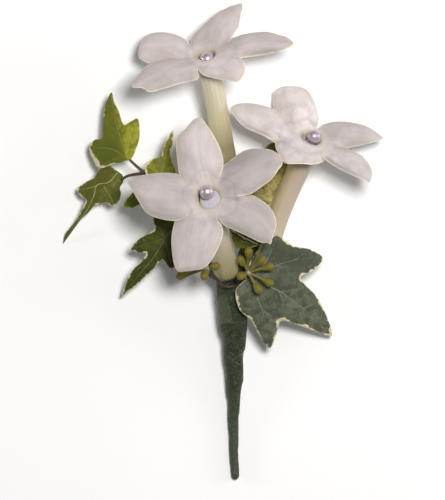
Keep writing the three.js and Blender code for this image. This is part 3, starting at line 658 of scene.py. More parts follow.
class Nodes:
    """A node tree with short calls to add and join nodes."""

    def __init__(self, tree):
        self.tree = tree

    def add(self, kind, values=None, **settings):
        """A node with its settings, and its sockets' values or links by name or number."""
        node = self.tree.nodes.new(kind)
        for key, value in settings.items():
            setattr(node, key, value)
        for key, value in (values or {}).items():
            self.join(value, node.inputs[key])
        return node

    def join(self, value, socket):
        if isinstance(value, bpy.types.NodeSocket):
            self.tree.links.new(value, socket)
        elif hasattr(value, "__len__") and len(value) == 3 and socket.type == "RGBA":
            socket.default_value = (*value, 1.0)
        else:
            socket.default_value = value

    def math(self, operation, *values):
        return self.add("ShaderNodeMath", dict(enumerate(values)), operation=operation).outputs[0]

    def times(self, value, factor):
        return self.math("MULTIPLY", value, factor)

    def total(self, first, *others):
        for other in others:
            first = self.math("ADD", first, other)
        return first

    def attribute(self, name):
        return self.add("ShaderNodeAttribute", attribute_name=name).outputs["Fac"]

    def place(self):
        """The shaded place on the object, in metres."""
        return self.add("ShaderNodeTexCoord").outputs["Object"]

    def noise(self, place, scale, detail, roughness=0.5, distortion=0.0):
        node = self.add("ShaderNodeTexNoise", {
            "Vector": place, "Scale": scale, "Detail": detail,
            "Roughness": roughness, "Distortion": distortion,
        })
        return node.outputs["Fac"]

    def between(self, value, low, high, start=0.0, end=1.0):
        """value from low to high, spread smoothly over start to end."""
        node = self.add(
            "ShaderNodeMapRange",
            {"Value": value, "From Min": low, "From Max": high, "To Min": start, "To Max": end},
            interpolation_type="SMOOTHSTEP",
        )
        return node.outputs["Result"]

    def mix(self, factor, a, b, blend="MIX"):
        node = self.add("ShaderNodeMix", {0: factor, 6: a, 7: b}, data_type="RGBA", blend_type=blend)
        return node.outputs[2]

    def paint(self, colour, *coats):
        """A colour under coats, each given as its cover and its colour."""
        for cover, coat in coats:
            colour = self.mix(cover, colour, coat)
        return colour

    def ramp(self, value, stops):
        """A colour along value, from pairs of place and colour."""
        node = self.add("ShaderNodeValToRGB", {"Fac": value})
        elements = node.color_ramp.elements
        while len(elements) < len(stops):
            elements.new(0.5)
        for element, (place, colour) in zip(elements, stops):
            element.position = place
            element.color = (*colour, 1.0)
        return node.outputs["Color"]

    def group(self, name, **values):
        node = self.add("ShaderNodeGroup")
        node.node_tree = bpy.data.node_groups[name]
        for key, value in values.items():
            self.join(value, node.inputs[key])
        return node.outputs[0]

    def mottle(self, size, low=0.35, high=0.65):
        """Clouds of a size in millimetres, with the noise from low to high spread over 0 to 1."""
        return self.group("Growth Mottle", Size=size, Low=low, High=high)


class Finish(Nodes):
    """A material's Principled shader, with its even values set on its own sockets."""

    def __init__(self, name, **values):
        self.material = bpy.data.materials.new(name)
        self.material.use_nodes = True
        super().__init__(self.material.node_tree)
        self.shader = self.tree.nodes["Principled BSDF"]
        for label, value in values.items():
            self.join(value, self.shader.inputs[label.replace("_", " ")])

    def feed(self, colour, roughness=None, height=None, distance=0.0, strength=0.0):
        """Joins colour, roughness and a bump, whose distance is in millimetres, and gives the material."""
        self.join(colour, self.shader.inputs["Base Color"])
        if roughness is not None:
            self.join(roughness, self.shader.inputs["Roughness"])
        if height is not None:
            bump = {"Height": height, "Distance": distance * MM, "Strength": strength}
            self.join(self.add("ShaderNodeBump", bump).outputs["Normal"], self.shader.inputs["Normal"])
        return self.material


def new_group(name, **inputs):
    """An empty node group: its Nodes, its input sockets by name, and the socket of its one output."""
    tree = bpy.data.node_groups.new(name, "ShaderNodeTree")
    for label, default in inputs.items():
        socket = tree.interface.new_socket(label, in_out="INPUT", socket_type="NodeSocketFloat")
        socket.default_value = default
    tree.interface.new_socket("Value", in_out="OUTPUT", socket_type="NodeSocketFloat")
    nodes = Nodes(tree)
    given = nodes.add("NodeGroupInput").outputs
    return nodes, given, nodes.add("NodeGroupOutput").inputs[0]


def make_groups():
    """The effects that several finishes share."""
    nodes, given, result = new_group("Lengthwise Streaks", Count=8.0, Stretch=2.0, Seed=0.0)
    uv = nodes.add("ShaderNodeUVMap", uv_map="UVMap").outputs["UV"]
    split = nodes.add("ShaderNodeSeparateXYZ", {0: uv})
    turn = nodes.times(split.outputs["X"], TURN)
    place = nodes.add("ShaderNodeCombineXYZ", {
        "X": nodes.times(nodes.math("COSINE", turn), given["Count"]),
        "Y": nodes.total(nodes.times(nodes.math("SINE", turn), given["Count"]), given["Seed"]),
        "Z": nodes.times(split.outputs["Y"], given["Stretch"]),
    })
    nodes.join(nodes.noise(place.outputs[0], 1.0, 3.0, 0.6), result)

    nodes, given, result = new_group("Petal Veins", Width=1.0, Length=8.0, Seed=0.0)
    place = nodes.add("ShaderNodeCombineXYZ", {
        "X": nodes.math("DIVIDE", nodes.attribute("over"), given["Width"]),
        "Y": nodes.math("DIVIDE", nodes.attribute("run"), given["Length"]),
        "Z": given["Seed"],
    })
    nodes.join(nodes.noise(place.outputs[0], 1.0, 2.0, 0.55), result)

    nodes, given, result = new_group("Growth Mottle", Size=2.0, Low=0.35, High=0.65)
    cloud = nodes.noise(nodes.place(), nodes.math("DIVIDE", 1 / MM, given["Size"]), 4.0, 0.55)
    nodes.join(nodes.between(cloud, given["Low"], given["High"]), result)

    nodes, given, result = new_group("Cell Relief", Size=0.25)
    scale = nodes.math("DIVIDE", 1 / MM, given["Size"])
    values = {"Vector": nodes.place(), "Scale": scale, "Smoothness": 1.0}
    cells = nodes.add("ShaderNodeTexVoronoi", values, feature="SMOOTH_F1")
    nodes.join(nodes.math("SUBTRACT", 1.0, cells.outputs["Distance"]), result)


def waxy_petal(name, settings, colour, floret):
    """The petals and tube of one floret: waxy skin with streaks, a cream edge and a yellow-green tube."""
    wax = Finish(name, Roughness=0.55, Specular_IOR_Level=0.16, Sheen_Weight=0.05, Sheen_Roughness=0.5,
                 Subsurface_Weight=0.2, Subsurface_Radius=(1.0, 0.75, 0.6), Subsurface_Scale=0.0008)
    edge, along, depth, tube = (wax.attribute(word) for word in ("edge", "along", "depth", "tube"))
    cloud, speck = wax.mottle(5.0, 0.3, 0.7), wax.mottle(1.0)
    streaks = wax.group("Petal Veins", Width=0.62, Length=9.0)
    broad = wax.group("Petal Veins", Width=2.6, Length=14.0, Seed=4.0)
    petal = wax.paint(
        colour,
        (cloud, settings.petal_shade),
        (wax.between(broad, 0.35, 0.65, 0.0, 0.4), settings.petal_light),
        (wax.between(streaks, 0.42, 0.68, 0.0, 0.24), settings.petal_light),
        (wax.times(speck, 0.14), settings.petal_shade),
    )
    rim = wax.total(edge, wax.times(speck, 0.12))
    petal = wax.paint(
        # Painted light and shade: each lobe is made lighter or darker for the way it faces the light
        wax.mix(1.0, petal, wax.attribute("tone"), "MULTIPLY"),
        (wax.between(depth, 0.0, 3.2, 0.5, 0.0), settings.throat_colour),
        # Painted shade: olive tan where the throat wall round the cotton lies in shadow
        (wax.between(depth, 0.0, 1.9, 0.75, 0.0), settings.throat_shade_colour),
        # A warm tint and painted shade in a band inside each lobe's edge, where the rim rolls down
        (wax.between(edge, 0.2, 1.8, 0.45, 0.0), settings.margin_tint_and_shade),
        (wax.between(rim, 0.10, 0.34, 0.9, 0.0), settings.edge_colour),
        (wax.between(along, 0.965, 1.02, 0.0, 0.5), settings.tip_colour),
    )
    fine = wax.group("Lengthwise Streaks", Count=5.0, Stretch=2.5, Seed=7.0)
    # Painted shade: the tube's left side, away from the light, is mixed to a yellow-brown
    flank = wax.math("MULTIPLY_ADD", cloud, 0.3, wax.attribute("flank"))
    flank_shade_colour, flank_shade_cover = floret["flank"]
    shading = wax.paint(
        wax.ramp(tube, floret["tube"]),
        (wax.between(fine, 0.42, 0.66, 0.0, 0.3), settings.streak_colour),
        (wax.between(flank, -0.75, 0.3, flank_shade_cover, 0.0), flank_shade_colour),
    )
    height = wax.total(wax.times(wax.group("Cell Relief", Size=0.22), 0.2), streaks, wax.times(cloud, 0.6))
    colour = wax.mix(wax.between(tube, 0.0, 0.03), petal, shading)
    return wax.feed(colour, wax.between(streaks, 0.3, 0.7, 0.5, 0.66), height, 0.14, 0.4)


def ivy_blade(name, settings, vein_cover):
    """A variegated ivy blade: two greens in patches, pale veins and an uneven cream margin."""
    leaf = Finish(f"ivy_{name}", Roughness=0.55, Specular_IOR_Level=0.16, Subsurface_Weight=0.06,
                  Subsurface_Radius=(0.4, 0.8, 0.2), Subsurface_Scale=0.0006)
    green, patch, vein = (getattr(settings, f"{name}_{part}") for part in ("colour", "patch", "vein"))
    margin, veins, under, dim = (leaf.attribute(word) for word in ("margin", "vein", "under", "dim"))
    soft, cloud = leaf.mottle(8.0, 0.3, 0.7), leaf.mottle(2.4, 0.44, 0.56)
    speck, fleck = leaf.mottle(1.1), leaf.mottle(0.7, 0.5, 0.72)
    faint = leaf.between(soft, 0.1, 0.9, 0.4 * vein_cover, vein_cover)
    wander = leaf.math("MULTIPLY_ADD", leaf.noise(leaf.place(), 900.0, 3.0), 1.6, -0.8)
    border = leaf.total(margin, wander, leaf.math("MULTIPLY_ADD", soft, 0.5, -0.2))
    cream = leaf.mix(speck, settings.cream_colour, settings.cream_shade)
    colour = leaf.paint(
        green,
        (leaf.times(soft, 0.5), patch),
        (leaf.times(cloud, settings.patch_strength), patch),
        (leaf.times(speck, 0.3), patch),
        (leaf.times(fleck, 0.3), [clamp(1.7 * part) for part in green]),
        # Painted shade, mixed towards the darker green
        (dim, patch),
        (leaf.times(leaf.between(veins, 0.2, 0.85, 1.0, 0.0), faint), vein),
        (leaf.between(border, -0.08, 0.12, 1.0, 0.0), cream),
        (leaf.times(under, 0.55), settings.under_colour),
    )
    height = leaf.total(leaf.times(leaf.group("Cell Relief", Size=0.35), 0.5), soft)
    return leaf.feed(colour, leaf.between(soft, 0.0, 1.0, 0.5, 0.66), height, 0.12, 0.35)


def woody_stalk(name, colour, shade):
    """A leaf stalk or vine: lengthwise streaks of two colours, slightly glossy."""
    bark = Finish(name, Roughness=0.5, Specular_IOR_Level=0.4)
    streaks = bark.group("Lengthwise Streaks", Count=2.5, Stretch=9.0)
    cloud = bark.mottle(2.5)
    tint = bark.paint(colour, (bark.between(streaks, 0.35, 0.65), shade), (bark.times(cloud, 0.4), shade))
    return bark.feed(tint, bark.between(streaks, 0.3, 0.7, 0.4, 0.6), streaks, 0.12, 0.5)


def bud_skin(settings):
    """Buds and their stalks: pale green at the hub, olive towards the bud, brown on its crown."""
    bud = Finish("bud_skin", Roughness=0.5, Specular_IOR_Level=0.25, Subsurface_Weight=0.1,
                 Subsurface_Radius=(0.6, 0.6, 0.2), Subsurface_Scale=0.0006)
    speck = bud.mottle(0.7, 0.4, 0.6)
    streaks = bud.group("Lengthwise Streaks", Count=2.0, Stretch=3.0)
    colour = bud.paint(
        bud.ramp(bud.attribute("along"), [
            (0.0, settings.hub_colour), (0.10, settings.stalk_colour), (0.5, settings.stalk_colour),
            (0.66, settings.bud_colour), (0.88, settings.bud_colour), (0.97, settings.crown_colour),
        ]),
        (bud.between(streaks, 0.4, 0.7, 0.0, 0.35), settings.bud_shade),
        (bud.times(speck, 0.2), settings.crown_colour),
    )
    cells = bud.group("Cell Relief", Size=0.3)
    return bud.feed(colour, bud.between(speck, 0.0, 1.0, 0.42, 0.6), cells, 0.08, 0.4)


def floral_tape(name, colour, lap_and_highlight_colour, flap_colour, crinkle):
    """Waxed crepe tape: fine crinkles across the winding, paler where one turn laps the next."""
    tape = Finish(name, Roughness=0.55, Specular_IOR_Level=0.25)
    place = tape.place()
    cloud, speck = tape.mottle(2.2, 0.3, 0.7), tape.mottle(0.5, 0.5, 0.7)
    across = {"Vector": place, "Rotation": (0.0, 0.0, 0.5), "Scale": (1500.0, 420.0, 900.0)}
    crepe = tape.noise(tape.add("ShaderNodeMapping", across).outputs[0], 1.0, 3.0, 0.6)
    # Thin lines along the tape's folds: bumped, and painted paler as painted highlight
    folds = tape.math("SUBTRACT", tape.noise(place, 520.0, 2.0, distortion=1.6), 0.5)
    line = tape.between(tape.math("ABSOLUTE", folds), 0.0, 0.035, 1.0, 0.0)
    lap = tape.times(tape.between(tape.attribute("lap"), 0.86, 0.98, 0.0, 0.4), cloud)
    down = tape.add("ShaderNodeSeparateXYZ", {0: place}).outputs["Y"]
    tint = tape.paint(
        colour,
        (tape.times(cloud, 0.6), [0.55 * part for part in colour]),
        (lap, lap_and_highlight_colour),
        (tape.times(speck, 0.5), lap_and_highlight_colour),
        # Painted highlight along the folds, in the colour of the lapped edge
        (tape.times(line, 0.55), lap_and_highlight_colour),
        (tape.times(tape.attribute("flap"), 0.4), flap_colour),
        # Paler towards the handle's tip
        (tape.between(down, -0.058, -0.030, 0.28, 0.0), lap_and_highlight_colour),
    )
    height = tape.total(crepe, tape.times(cloud, 0.6), tape.times(line, 0.8))
    return tape.feed(tint, tape.between(crepe, 0.3, 0.7, 0.32, 0.62), height, 0.35, crinkle)


def cotton_wool(settings):
    """Matt white wool in soft tufts."""
    cotton = Finish("cotton_wool", Roughness=0.9, Specular_IOR_Level=0.2, Sheen_Weight=0.3,
                    Sheen_Roughness=0.6, Subsurface_Weight=0.2, Subsurface_Radius=(1.0, 0.9, 1.0),
                    Subsurface_Scale=0.0008)
    tuft, fibre = cotton.mottle(0.6, 0.3, 0.7), cotton.mottle(0.16, 0.3, 0.7)
    colour = cotton.mix(cotton.times(tuft, 0.5), settings.cotton_colour, settings.cotton_shade)
    height = cotton.total(fibre, tuft)
    return cotton.feed(colour, cotton.between(tuft, 0.0, 1.0, 0.8, 0.98), height, 0.12, 0.6)


def pearl_lustre(settings):
    """A lilac pearl that mirrors its surroundings under a clear skin."""
    pearl = Finish("pearl_lustre", Metallic=0.55, Roughness=0.36, Coat_Weight=0.6, Coat_Roughness=0.14)
    cloud = pearl.mottle(1.6, 0.3, 0.7)
    facing = pearl.add("ShaderNodeLayerWeight", {"Blend": 0.35}).outputs["Facing"]
    colour = pearl.mix(cloud, settings.pearl_colour, settings.pearl_shade)
    return pearl.feed(colour, pearl.between(facing, 0.0, 1.0, 0.36, 0.42), cloud, 0.02, 0.2)


def drawn_steel(settings):
    steel = Finish("drawn_steel", Metallic=1.0, Roughness=0.28)
    scratch = steel.mottle(0.5, 0.3, 0.7)
    colour = steel.mix(scratch, settings.steel_colour, settings.steel_shade)
    return steel.feed(colour, steel.between(scratch, 0.0, 1.0, 0.2, 0.4))


# Florets


def mouth(floret):
    """The middle of a floret's mouth and its axes: out of it, and two across it."""
    out = Vector(floret["faces"]).normalized()
    across = Vector((1, 0, 0))
    across = (across - out * across.dot(out)).normalized()
    return Vector(floret["throat"]), out, across, out.cross(across)


def tube_route(floret):
    middle, out, _, _ = mouth(floret)
    base = Vector(floret["base"])
    reach = (middle - base).length / 3
    leave = base - Vector(floret["leaves"]).normalized() * reach
    start, steps = middle + out * 0.4, 160
    return Route([bezier(start, middle - out * reach, leave, base, i / steps) for i in range(steps + 1)])


class Lobe:
    """A lobe's middle surface, read as a height over each place that the camera sees."""

    ROUNDING = 0.30  # how far the blade falls towards its sides, as a share of its half width
    SLANT = 0.45  # how far one side of the foot stands higher, and the other lower
    UNEVEN = 0.10  # height of the broad unevenness
    GROOVE = 0.06  # depth of the groove along the middle

    def __init__(self, floret, lobe, seed):
        self.lobe, self.seed = lobe, seed
        self.middle, self.out, self.across, self.up = mouth(floret)
        self.end = Vector(lobe["tip"])
        outward = self.end - self.middle
        outward = (outward - self.out * outward.dot(self.out)).normalized()
        nearer = (Vector((0, 0, 1)) - self.out * self.out.z).normalized()
        cup = floret["cup"] + floret["lean"] * outward.dot(nearer)
        self.root = self.middle + outward * (floret["ring"] + 0.4) + self.out * cup
        self.here = math.atan2(outward.dot(self.up), outward.dot(self.across))
        sideways = outward.cross(self.out)
        self.bend = self.root.lerp(self.end, 0.5)
        self.bend += self.out * (2 * lobe["arch"]) + sideways * (2 * lobe["sway"])
        # The straight line from root to tip as the camera sees it
        self.reach = (self.end - self.root).xy.length
        self.way = (self.end - self.root).xy.normalized()
        self.side = Vector((self.way.y, -self.way.x))
        self.bend_run = max((self.bend - self.root).xy.dot(self.way), 0.2 * self.reach)
        self.length = (self.bend - self.root).length * 0.5 + (self.end - self.bend).length * 0.5
        self.length = max(self.length, (self.end - self.root).length)
        _, above = self.axis(0.5)
        self.tilt_factor = math.hypot(1.0, above.xy.dot(self.side) / above.z)

    def laid_flat(self, flat):
        """A place in the picture, brought into the lobe's own plane."""
        off = flat - self.root.xy
        stretch = self.length / self.reach
        return Vector((off.dot(self.way) * stretch, off.dot(self.side) * self.tilt_factor, 0.0))

    def axis(self, s):
        """A point of the lobe's middle line, and the way its upper face looks there."""
        point = self.root * (1 - s) ** 2 + self.bend * (2 * s * (1 - s)) + self.end * s**2
        way = ((self.bend - self.root) * (1 - s) + (self.end - self.bend) * s).normalized()
        side = way.cross(self.out).normalized()
        side = Matrix.Rotation(math.radians(self.lobe["roll"]) * clamp(0.3 + 1.5 * s), 3, way) @ side
        return point, side.cross(way)

    def place(self, x, y):
        """The share along the lobe, the distance across it, the height, and the way it looks."""
        off = Vector((x, y)) - self.root.xy
        run = off.dot(self.way)
        curve = self.reach - 2 * self.bend_run
        if abs(curve) < 1e-3:
            s = run / (2 * self.bend_run)
        else:
            s = (-self.bend_run + math.sqrt(max(0.0, self.bend_run**2 + curve * run))) / curve
        s = clamp(s, -0.2, 1.15)
        point, above = self.axis(s)
        tilt = -above.xy.dot(self.side) / above.z
        over = off.dot(self.side) - (point - self.root).xy.dot(self.side)
        return s, over * math.hypot(1.0, tilt), point.z + tilt * over, above

    def height(self, x, y):
        """Height of the middle surface, with the share, the distance across and the way it looks."""
        lobe = self.lobe
        s, over, level, above = self.place(x, y)
        half = lobe["width"] / 2
        a = over / half
        if abs(a) > 1:
            a = math.copysign(1 + 0.3 * math.tanh((abs(a) - 1) / 0.3), a)
        bulge = math.sin(math.pi * clamp(s))
        rise = -self.ROUNDING * half * abs(a) ** 2.2 * lerp(0.35, 1.0, bulge)
        for sign, at_root, at_tip, fall in lobe["folds"]:
            past = sign * (over - lerp(at_root, at_tip, s))
            rise -= fall * past_crease(past, 3) * bulge
        rise += lobe["rib"] * ripple(over * 0.9, s * 2.2, self.seed) * smooth(0.02, 0.2, s)
        rise += self.UNEVEN * ripple(x * 0.16, y * 0.16, self.seed + 7)
        rise -= self.GROOVE * above.z**2 * math.exp(-((over / 0.6) ** 2)) * bulge
        waved = lobe["wave"] * min(1.0, a**4) * smooth(0.15, 0.4, s)
        rise += waved * ripple(s * 5, math.copysign(1, a), self.seed + 3)
        rise += lobe["curl"] * smooth(0.8, 1.0, s) ** 2
        rise += self.SLANT * clamp(a, -1, 1) * smooth(0.0, 0.1, s) * (1 - smooth(0.25, 0.6, s))
        return level + rise / max(above.z, 0.35), s, over, above

    def round_mouth(self, point):
        """The angle and the distance of a point round the mouth's axis."""
        off = point - self.middle
        angle = math.atan2(off.dot(self.up), off.dot(self.across))
        return angle, (off - self.out * off.dot(self.out)).length

    def from_mouth(self, angle, reach, out):
        """The point at an angle and a distance round the mouth's axis, and that far out of the mouth."""
        radial = self.across * math.cos(angle) + self.up * math.sin(angle)
        return self.middle + radial * reach + self.out * out


class Corolla:
    """The five lobes of a floret in order round the mouth, with the places where neighbours part."""

    COLUMNS = 168  # points round the outline of a lobe
    SKIRT = 0.9  # how far a lobe reaches in under the fused part
    TONGUE = 1.0  # how much further the fused part reaches along a lobe's middle
    WELD = 2.5  # how far from the line between two lobes they still draw together
    VALLEY = 0.4  # how far at most the higher of two lobes is drawn down to the lower one
    SEARCH = [0.35 * step for step in range(1, 13)]  # how far over_mouth looks to both sides

    def __init__(self, floret, seed):
        self.floret = floret
        lobes = [Lobe(floret, lobe, seed + 1.7 * k) for k, lobe in enumerate(floret["lobes"])]
        self.lobes = sorted(lobes, key=lambda lobe: lobe.here)
        self.parts = []
        for lobe, after in zip(self.lobes, self.lobes[1:] + self.lobes[:1]):
            angle, reach = self.traced_corner(lobe, 0)
            other, other_reach = self.traced_corner(after, -1)
            angle += ((other - angle + math.pi) % TURN - math.pi) / 2
            self.parts.append((lobe.here + (angle - lobe.here) % TURN, (reach + other_reach) / 2))
        self.rims = {lobe: self.rim(lobe) for lobe in self.lobes}

    def traced_corner(self, lobe, end):
        """Angle and distance round the mouth of one end of a lobe's outline."""
        x, y = lobe.lobe["outline"][end]
        return lobe.round_mouth(Vector((x, y, lobe.height(x, y)[0])))

    def rim(self, lobe):
        """A lobe's outline in even steps, the steps on its free edge, and a search tree over that edge."""
        traced = lobe.lobe["outline"]
        loop, spans = even_loop(traced + self.neck(lobe), self.COLUMNS)
        free = {i for i, span in enumerate(spans) if span < len(traced) - 1}
        tree = kdtree.KDTree(len(free) * 4)
        for i in free:
            for k in range(4):
                tree.insert(lobe.laid_flat(loop[i].lerp(loop[(i + 1) % self.COLUMNS], k / 4)), i)
        tree.balance()
        return loop, free, tree

    def inside(self, lobe, flat):
        """Distance in from a lobe's free edge."""
        return self.rims[lobe][2].find(lobe.laid_flat(flat))[2]

    def blade(self, settings, lobe, flat, inside):
        """Thickness of a lobe, and how far it has rolled down, at a distance in from its free edge."""
        full = settings.petal_thickness / MM * lerp(0.55, 1.0, smooth(0, 3.0, inside))
        full *= math.sqrt(max(0.0, 1 - (1 - min(1.0, inside / 0.4)) ** 2))
        outline = lobe.lobe["outline"]
        parting = min((flat - Vector(outline[end])).length for end in (0, -1))
        rolled = settings.rim_roll / MM * (1 - smooth(0, 1.8, inside)) ** 1.5
        return full, rolled * smooth(0.4, 3.0, parting)

    def low_end(self, k):
        """The angle where a lobe parts from the one before it, just below the lobe's own angle."""
        here = self.lobes[k].here
        return here - (here - self.parts[k - 1][0]) % TURN

    def sector(self, angle):
        """The lobe at an angle, the share of the way from its middle to its parting, and the reach there."""
        for k, lobe in enumerate(self.lobes):
            high, low = self.parts[k][0], self.low_end(k)
            turn = (angle - low) % TURN
            if turn <= high - low:
                past = low + turn - lobe.here
                if past >= 0:
                    return k, past / (high - lobe.here), self.parts[k][1]
                return k, -past / (lobe.here - low), self.parts[k - 1][1]
        return 0, 0.0, self.parts[0][1]

    def lobe_at(self, angle):
        return self.lobes[self.sector(angle)[0]]

    def edge_reach(self, angle):
        """How far from the mouth's axis the fused part reaches."""
        k, share, reach = self.sector(angle)
        middle = (self.parts[k][1] + self.parts[k - 1][1]) / 2 + self.TONGUE
        return lerp(middle, reach, share**1.5)

    def height(self, lobe, x, y):
        """What Lobe.height gives, drawn to the neighbours' height where two lobes part, and the painted light
        and shade.
        """
        alone, s, over, above = lobe.height(x, y)
        angle, reach = lobe.round_mouth(Vector((x, y, alone)))
        k = self.lobes.index(lobe)
        level, tone = alone, lobe.lobe["tone"]
        for part, beside in ((k, (k + 1) % len(self.lobes)), (k - 1, k - 1)):
            (part_angle, part_reach), other = self.parts[part], self.lobes[beside]
            along = reach * math.cos(angle - part_angle)
            past = max(0.0, along - part_reach)
            aside = math.hypot(reach * math.sin(angle - part_angle), 0.6 * past) if along > 0 else reach
            blend = 1 - smooth(0, self.WELD, aside)
            if blend > 1e-3:
                apart = other.height(x, y)[0] - alone
                sink = self.VALLEY * (1 - math.exp(-abs(apart) / (2 * self.VALLEY)))
                level += blend * (max(apart, 0.0) * (1 - 0.3 * smooth(0, 1.5, past)) - sink)
                # The painted light and shade goes halfway to the neighbour's where two lobes part
                tone += blend * (other.lobe["tone"] - lobe.lobe["tone"]) / 2
        return level, s, over, above, tone

    def over_mouth(self, lobe, angle, reach, near=None):
        """How far out of the mouth a lobe's surface lies at an angle and a distance round its axis.

        The search starts from a height nearby and takes the closest crossing, or keeps that
        height where the surface is too steep to cross.
        """
        near = self.floret["cup"] if near is None else near

        def miss(out):
            point = lobe.from_mouth(angle, reach, out)
            return point.z - self.height(lobe, point.x, point.y)[0]

        below = above = near, miss(near)
        for step in self.SEARCH:
            down, up = (near - step, miss(near - step)), (near + step, miss(near + step))
            if (down[1] > 0) != (below[1] > 0):
                low, high = down, below
                break
            if (up[1] > 0) != (above[1] > 0):
                low, high = above, up
                break
            below, above = down, up
        else:
            return near
        for _ in range(8):
            guess = (low[0] + high[0]) / 2
            found = guess, miss(guess)
            if (found[1] > 0) == (low[1] > 0):
                low = found
            else:
                high = found
        return low[0] - low[1] * (high[0] - low[0]) / (high[1] - low[1])

    def neck(self, lobe):
        """Places in the picture along a lobe's foot, under the fused part, from low to high angles."""
        k = self.lobes.index(lobe)
        places = []
        for i in range(9):
            angle = lerp(self.low_end(k), self.parts[k][0], (i + 0.25) / 8.5)
            reach = self.edge_reach(angle) - self.SKIRT
            point = lobe.from_mouth(angle, reach, self.over_mouth(lobe, angle, reach))
            places.append((point.x, point.y))
        return places


def even_loop(points, count):
    """A smooth closed line through the points in equal steps, with the span that each step lies in."""
    per_span = 24
    line = spline(points, per_span, closed=True)
    line.append(line[0])
    runs = [0.0]
    for a, b in zip(line, line[1:]):
        runs.append(runs[-1] + (b - a).length)
    loop, spans = [], []
    for i in range(count):
        run = runs[-1] * i / count
        k = clamp(bisect.bisect_right(runs, run), 1, len(runs) - 1)
        loop.append(line[k - 1].lerp(line[k], (run - runs[k - 1]) / max(runs[k] - runs[k - 1], 1e-9)))
        spans.append((k - 1) // per_span)
    return loop, spans


def forward(loop, hub):
    """The points of a closed loop, moved so that they never step back round the hub."""
    spokes = [point - hub for point in loop]
    turns = [0.0]
    for a, b in zip(spokes, spokes[1:]):
        turns.append(turns[-1] + math.atan2(a.x * b.y - a.y * b.x, a.dot(b)))
    way = math.copysign(1, turns[-1])
    start = math.atan2(spokes[0].y, spokes[0].x)
    least = 1e-3
    reached, placed = 0.0, []
    for i, (spoke, turn) in enumerate(zip(spokes, turns)):
        reached = min(max(reached + least, way * turn), TURN - least * (len(loop) - i)) if i else 0.0
        angle = start + way * reached
        placed.append(hub + Vector((math.cos(angle), math.sin(angle))) * spoke.length)
    return placed


def petal_values(corolla, lobe, point, inside, s, over, tone):
    """What the petal's finish reads at a point."""
    _, reach = lobe.round_mouth(point)
    return {
        "edge": inside,
        "along": clamp(s),
        "over": over,
        "run": s * lobe.length,
        "depth": max(0.0, reach - corolla.floret["ring"]),
        # Painted light and shade of the lobe
        "tone": tone,
    }


def petal(bm, corolla, lobe, settings):
    """One lobe: a closed skin from the middle of the blade over its rounded rim and back beneath."""
    columns, rings = corolla.COLUMNS, 36
    loop, free, _ = corolla.rims[lobe]
    middle = sum(loop, Vector((0, 0))) / columns
    hub = lobe.root.lerp(lobe.end, 0.5).xy.lerp(middle, 0.7)
    loop = forward(loop, hub)

    def place(u, v):
        column = round(u * columns) % columns
        upper = v <= 0.5
        share = 1 - (1 - (2 * v if upper else 2 - 2 * v)) ** 1.5
        flat = hub.lerp(loop[column], share)
        inside = 0.0 if share == 1 and column in free else corolla.inside(lobe, flat)
        level, s, over, above, tone = corolla.height(lobe, flat.x, flat.y)
        full, rolled = corolla.blade(settings, lobe, flat, inside)
        full *= math.sqrt(max(0.0, 1 - share**30))
        point = Vector((flat.x, flat.y, level)) + above * (full / 2 if upper else -full / 2)
        point.z = max(point.z - rolled, 0.05 + 0.02 * full)
        return point, petal_values(corolla, lobe, point, min(inside, FAR_IN), s, over, tone)

    skin(bm, columns, rings * 2, place)


def funnel(bm, corolla, settings):
    """The fused part between throat and lobes.

    It comes up out of the throat, follows the lobes' surface and goes back beneath.
    """
    columns, inner_steps, steps, outer_steps = 144, 16, 12, 20
    ring, plug = corolla.floret["ring"], Vector(corolla.floret["plug"])
    middle, out, across, up = mouth(corolla.floret)
    deep = out * (COTTON_DEPTH * 0.5)
    sections = []
    for i in range(columns):
        angle = TURN * i / columns
        lobe, edge = corolla.lobe_at(angle), corolla.edge_reach(angle)
        section, shading_tones, rise = [], [], None
        for k in range(steps + 1):
            reach = lerp(ring + 0.9, edge, k / steps)
            rise = corolla.over_mouth(lobe, angle, reach, rise)
            point = lobe.from_mouth(angle, reach, rise)
            _, _, _, above, tone = corolla.height(lobe, point.x, point.y)
            full, rolled = corolla.blade(settings, lobe, point.xy, corolla.inside(lobe, point.xy))
            sunk = 0.12 * smooth(edge - 1.2, edge, reach) - 0.02
            section.append(point + above * (full / 2) - out * sunk - Vector((0, 0, rolled)))
            shading_tones.append(tone)
        radial = across * math.cos(angle) + up * math.sin(angle)
        first, last = section[0], section[-1]
        floor = middle + plug + radial * (ring - 0.06) - deep
        bend = middle + plug * 0.6 + radial * (ring + 0.02)
        bend += out * ((first - bend).dot(out) - 0.55)
        lead = first + (first - section[1]).normalized() * 0.5
        under, below = last - out * 0.30 - radial * 0.1, section[-5] - out * 1.25
        shank, root = middle + radial * 3.3 - out * 0.4, middle + radial * 3.0 - deep
        inner = [bezier(floor, bend, lead, first, j / inner_steps) for j in range(inner_steps)]
        outer = [bezier(under, below, shank, root, j / outer_steps) for j in range(outer_steps + 1)]
        sections.append(((floor + root) / 2, inner + section + outer, shading_tones[0]))
    rows = inner_steps + steps + outer_steps + 3

    def place(u, v):
        closing, line, tone = sections[round(u * columns) % columns]
        j = round(v * rows)
        point = closing if j in (0, rows) else line[j - 1]
        off = point - middle
        lobe = corolla.lobe_at(math.atan2(off.dot(up), off.dot(across)))
        s, over, _, _ = lobe.place(point.x, point.y)
        if j > inner_steps:
            # The fused part takes the painted light and shade of the lobe beneath it
            tone = corolla.height(lobe, point.x, point.y)[4]
        return point, petal_values(corolla, lobe, point, FAR_IN, s, over, tone)

    skin(bm, columns, rows, place)


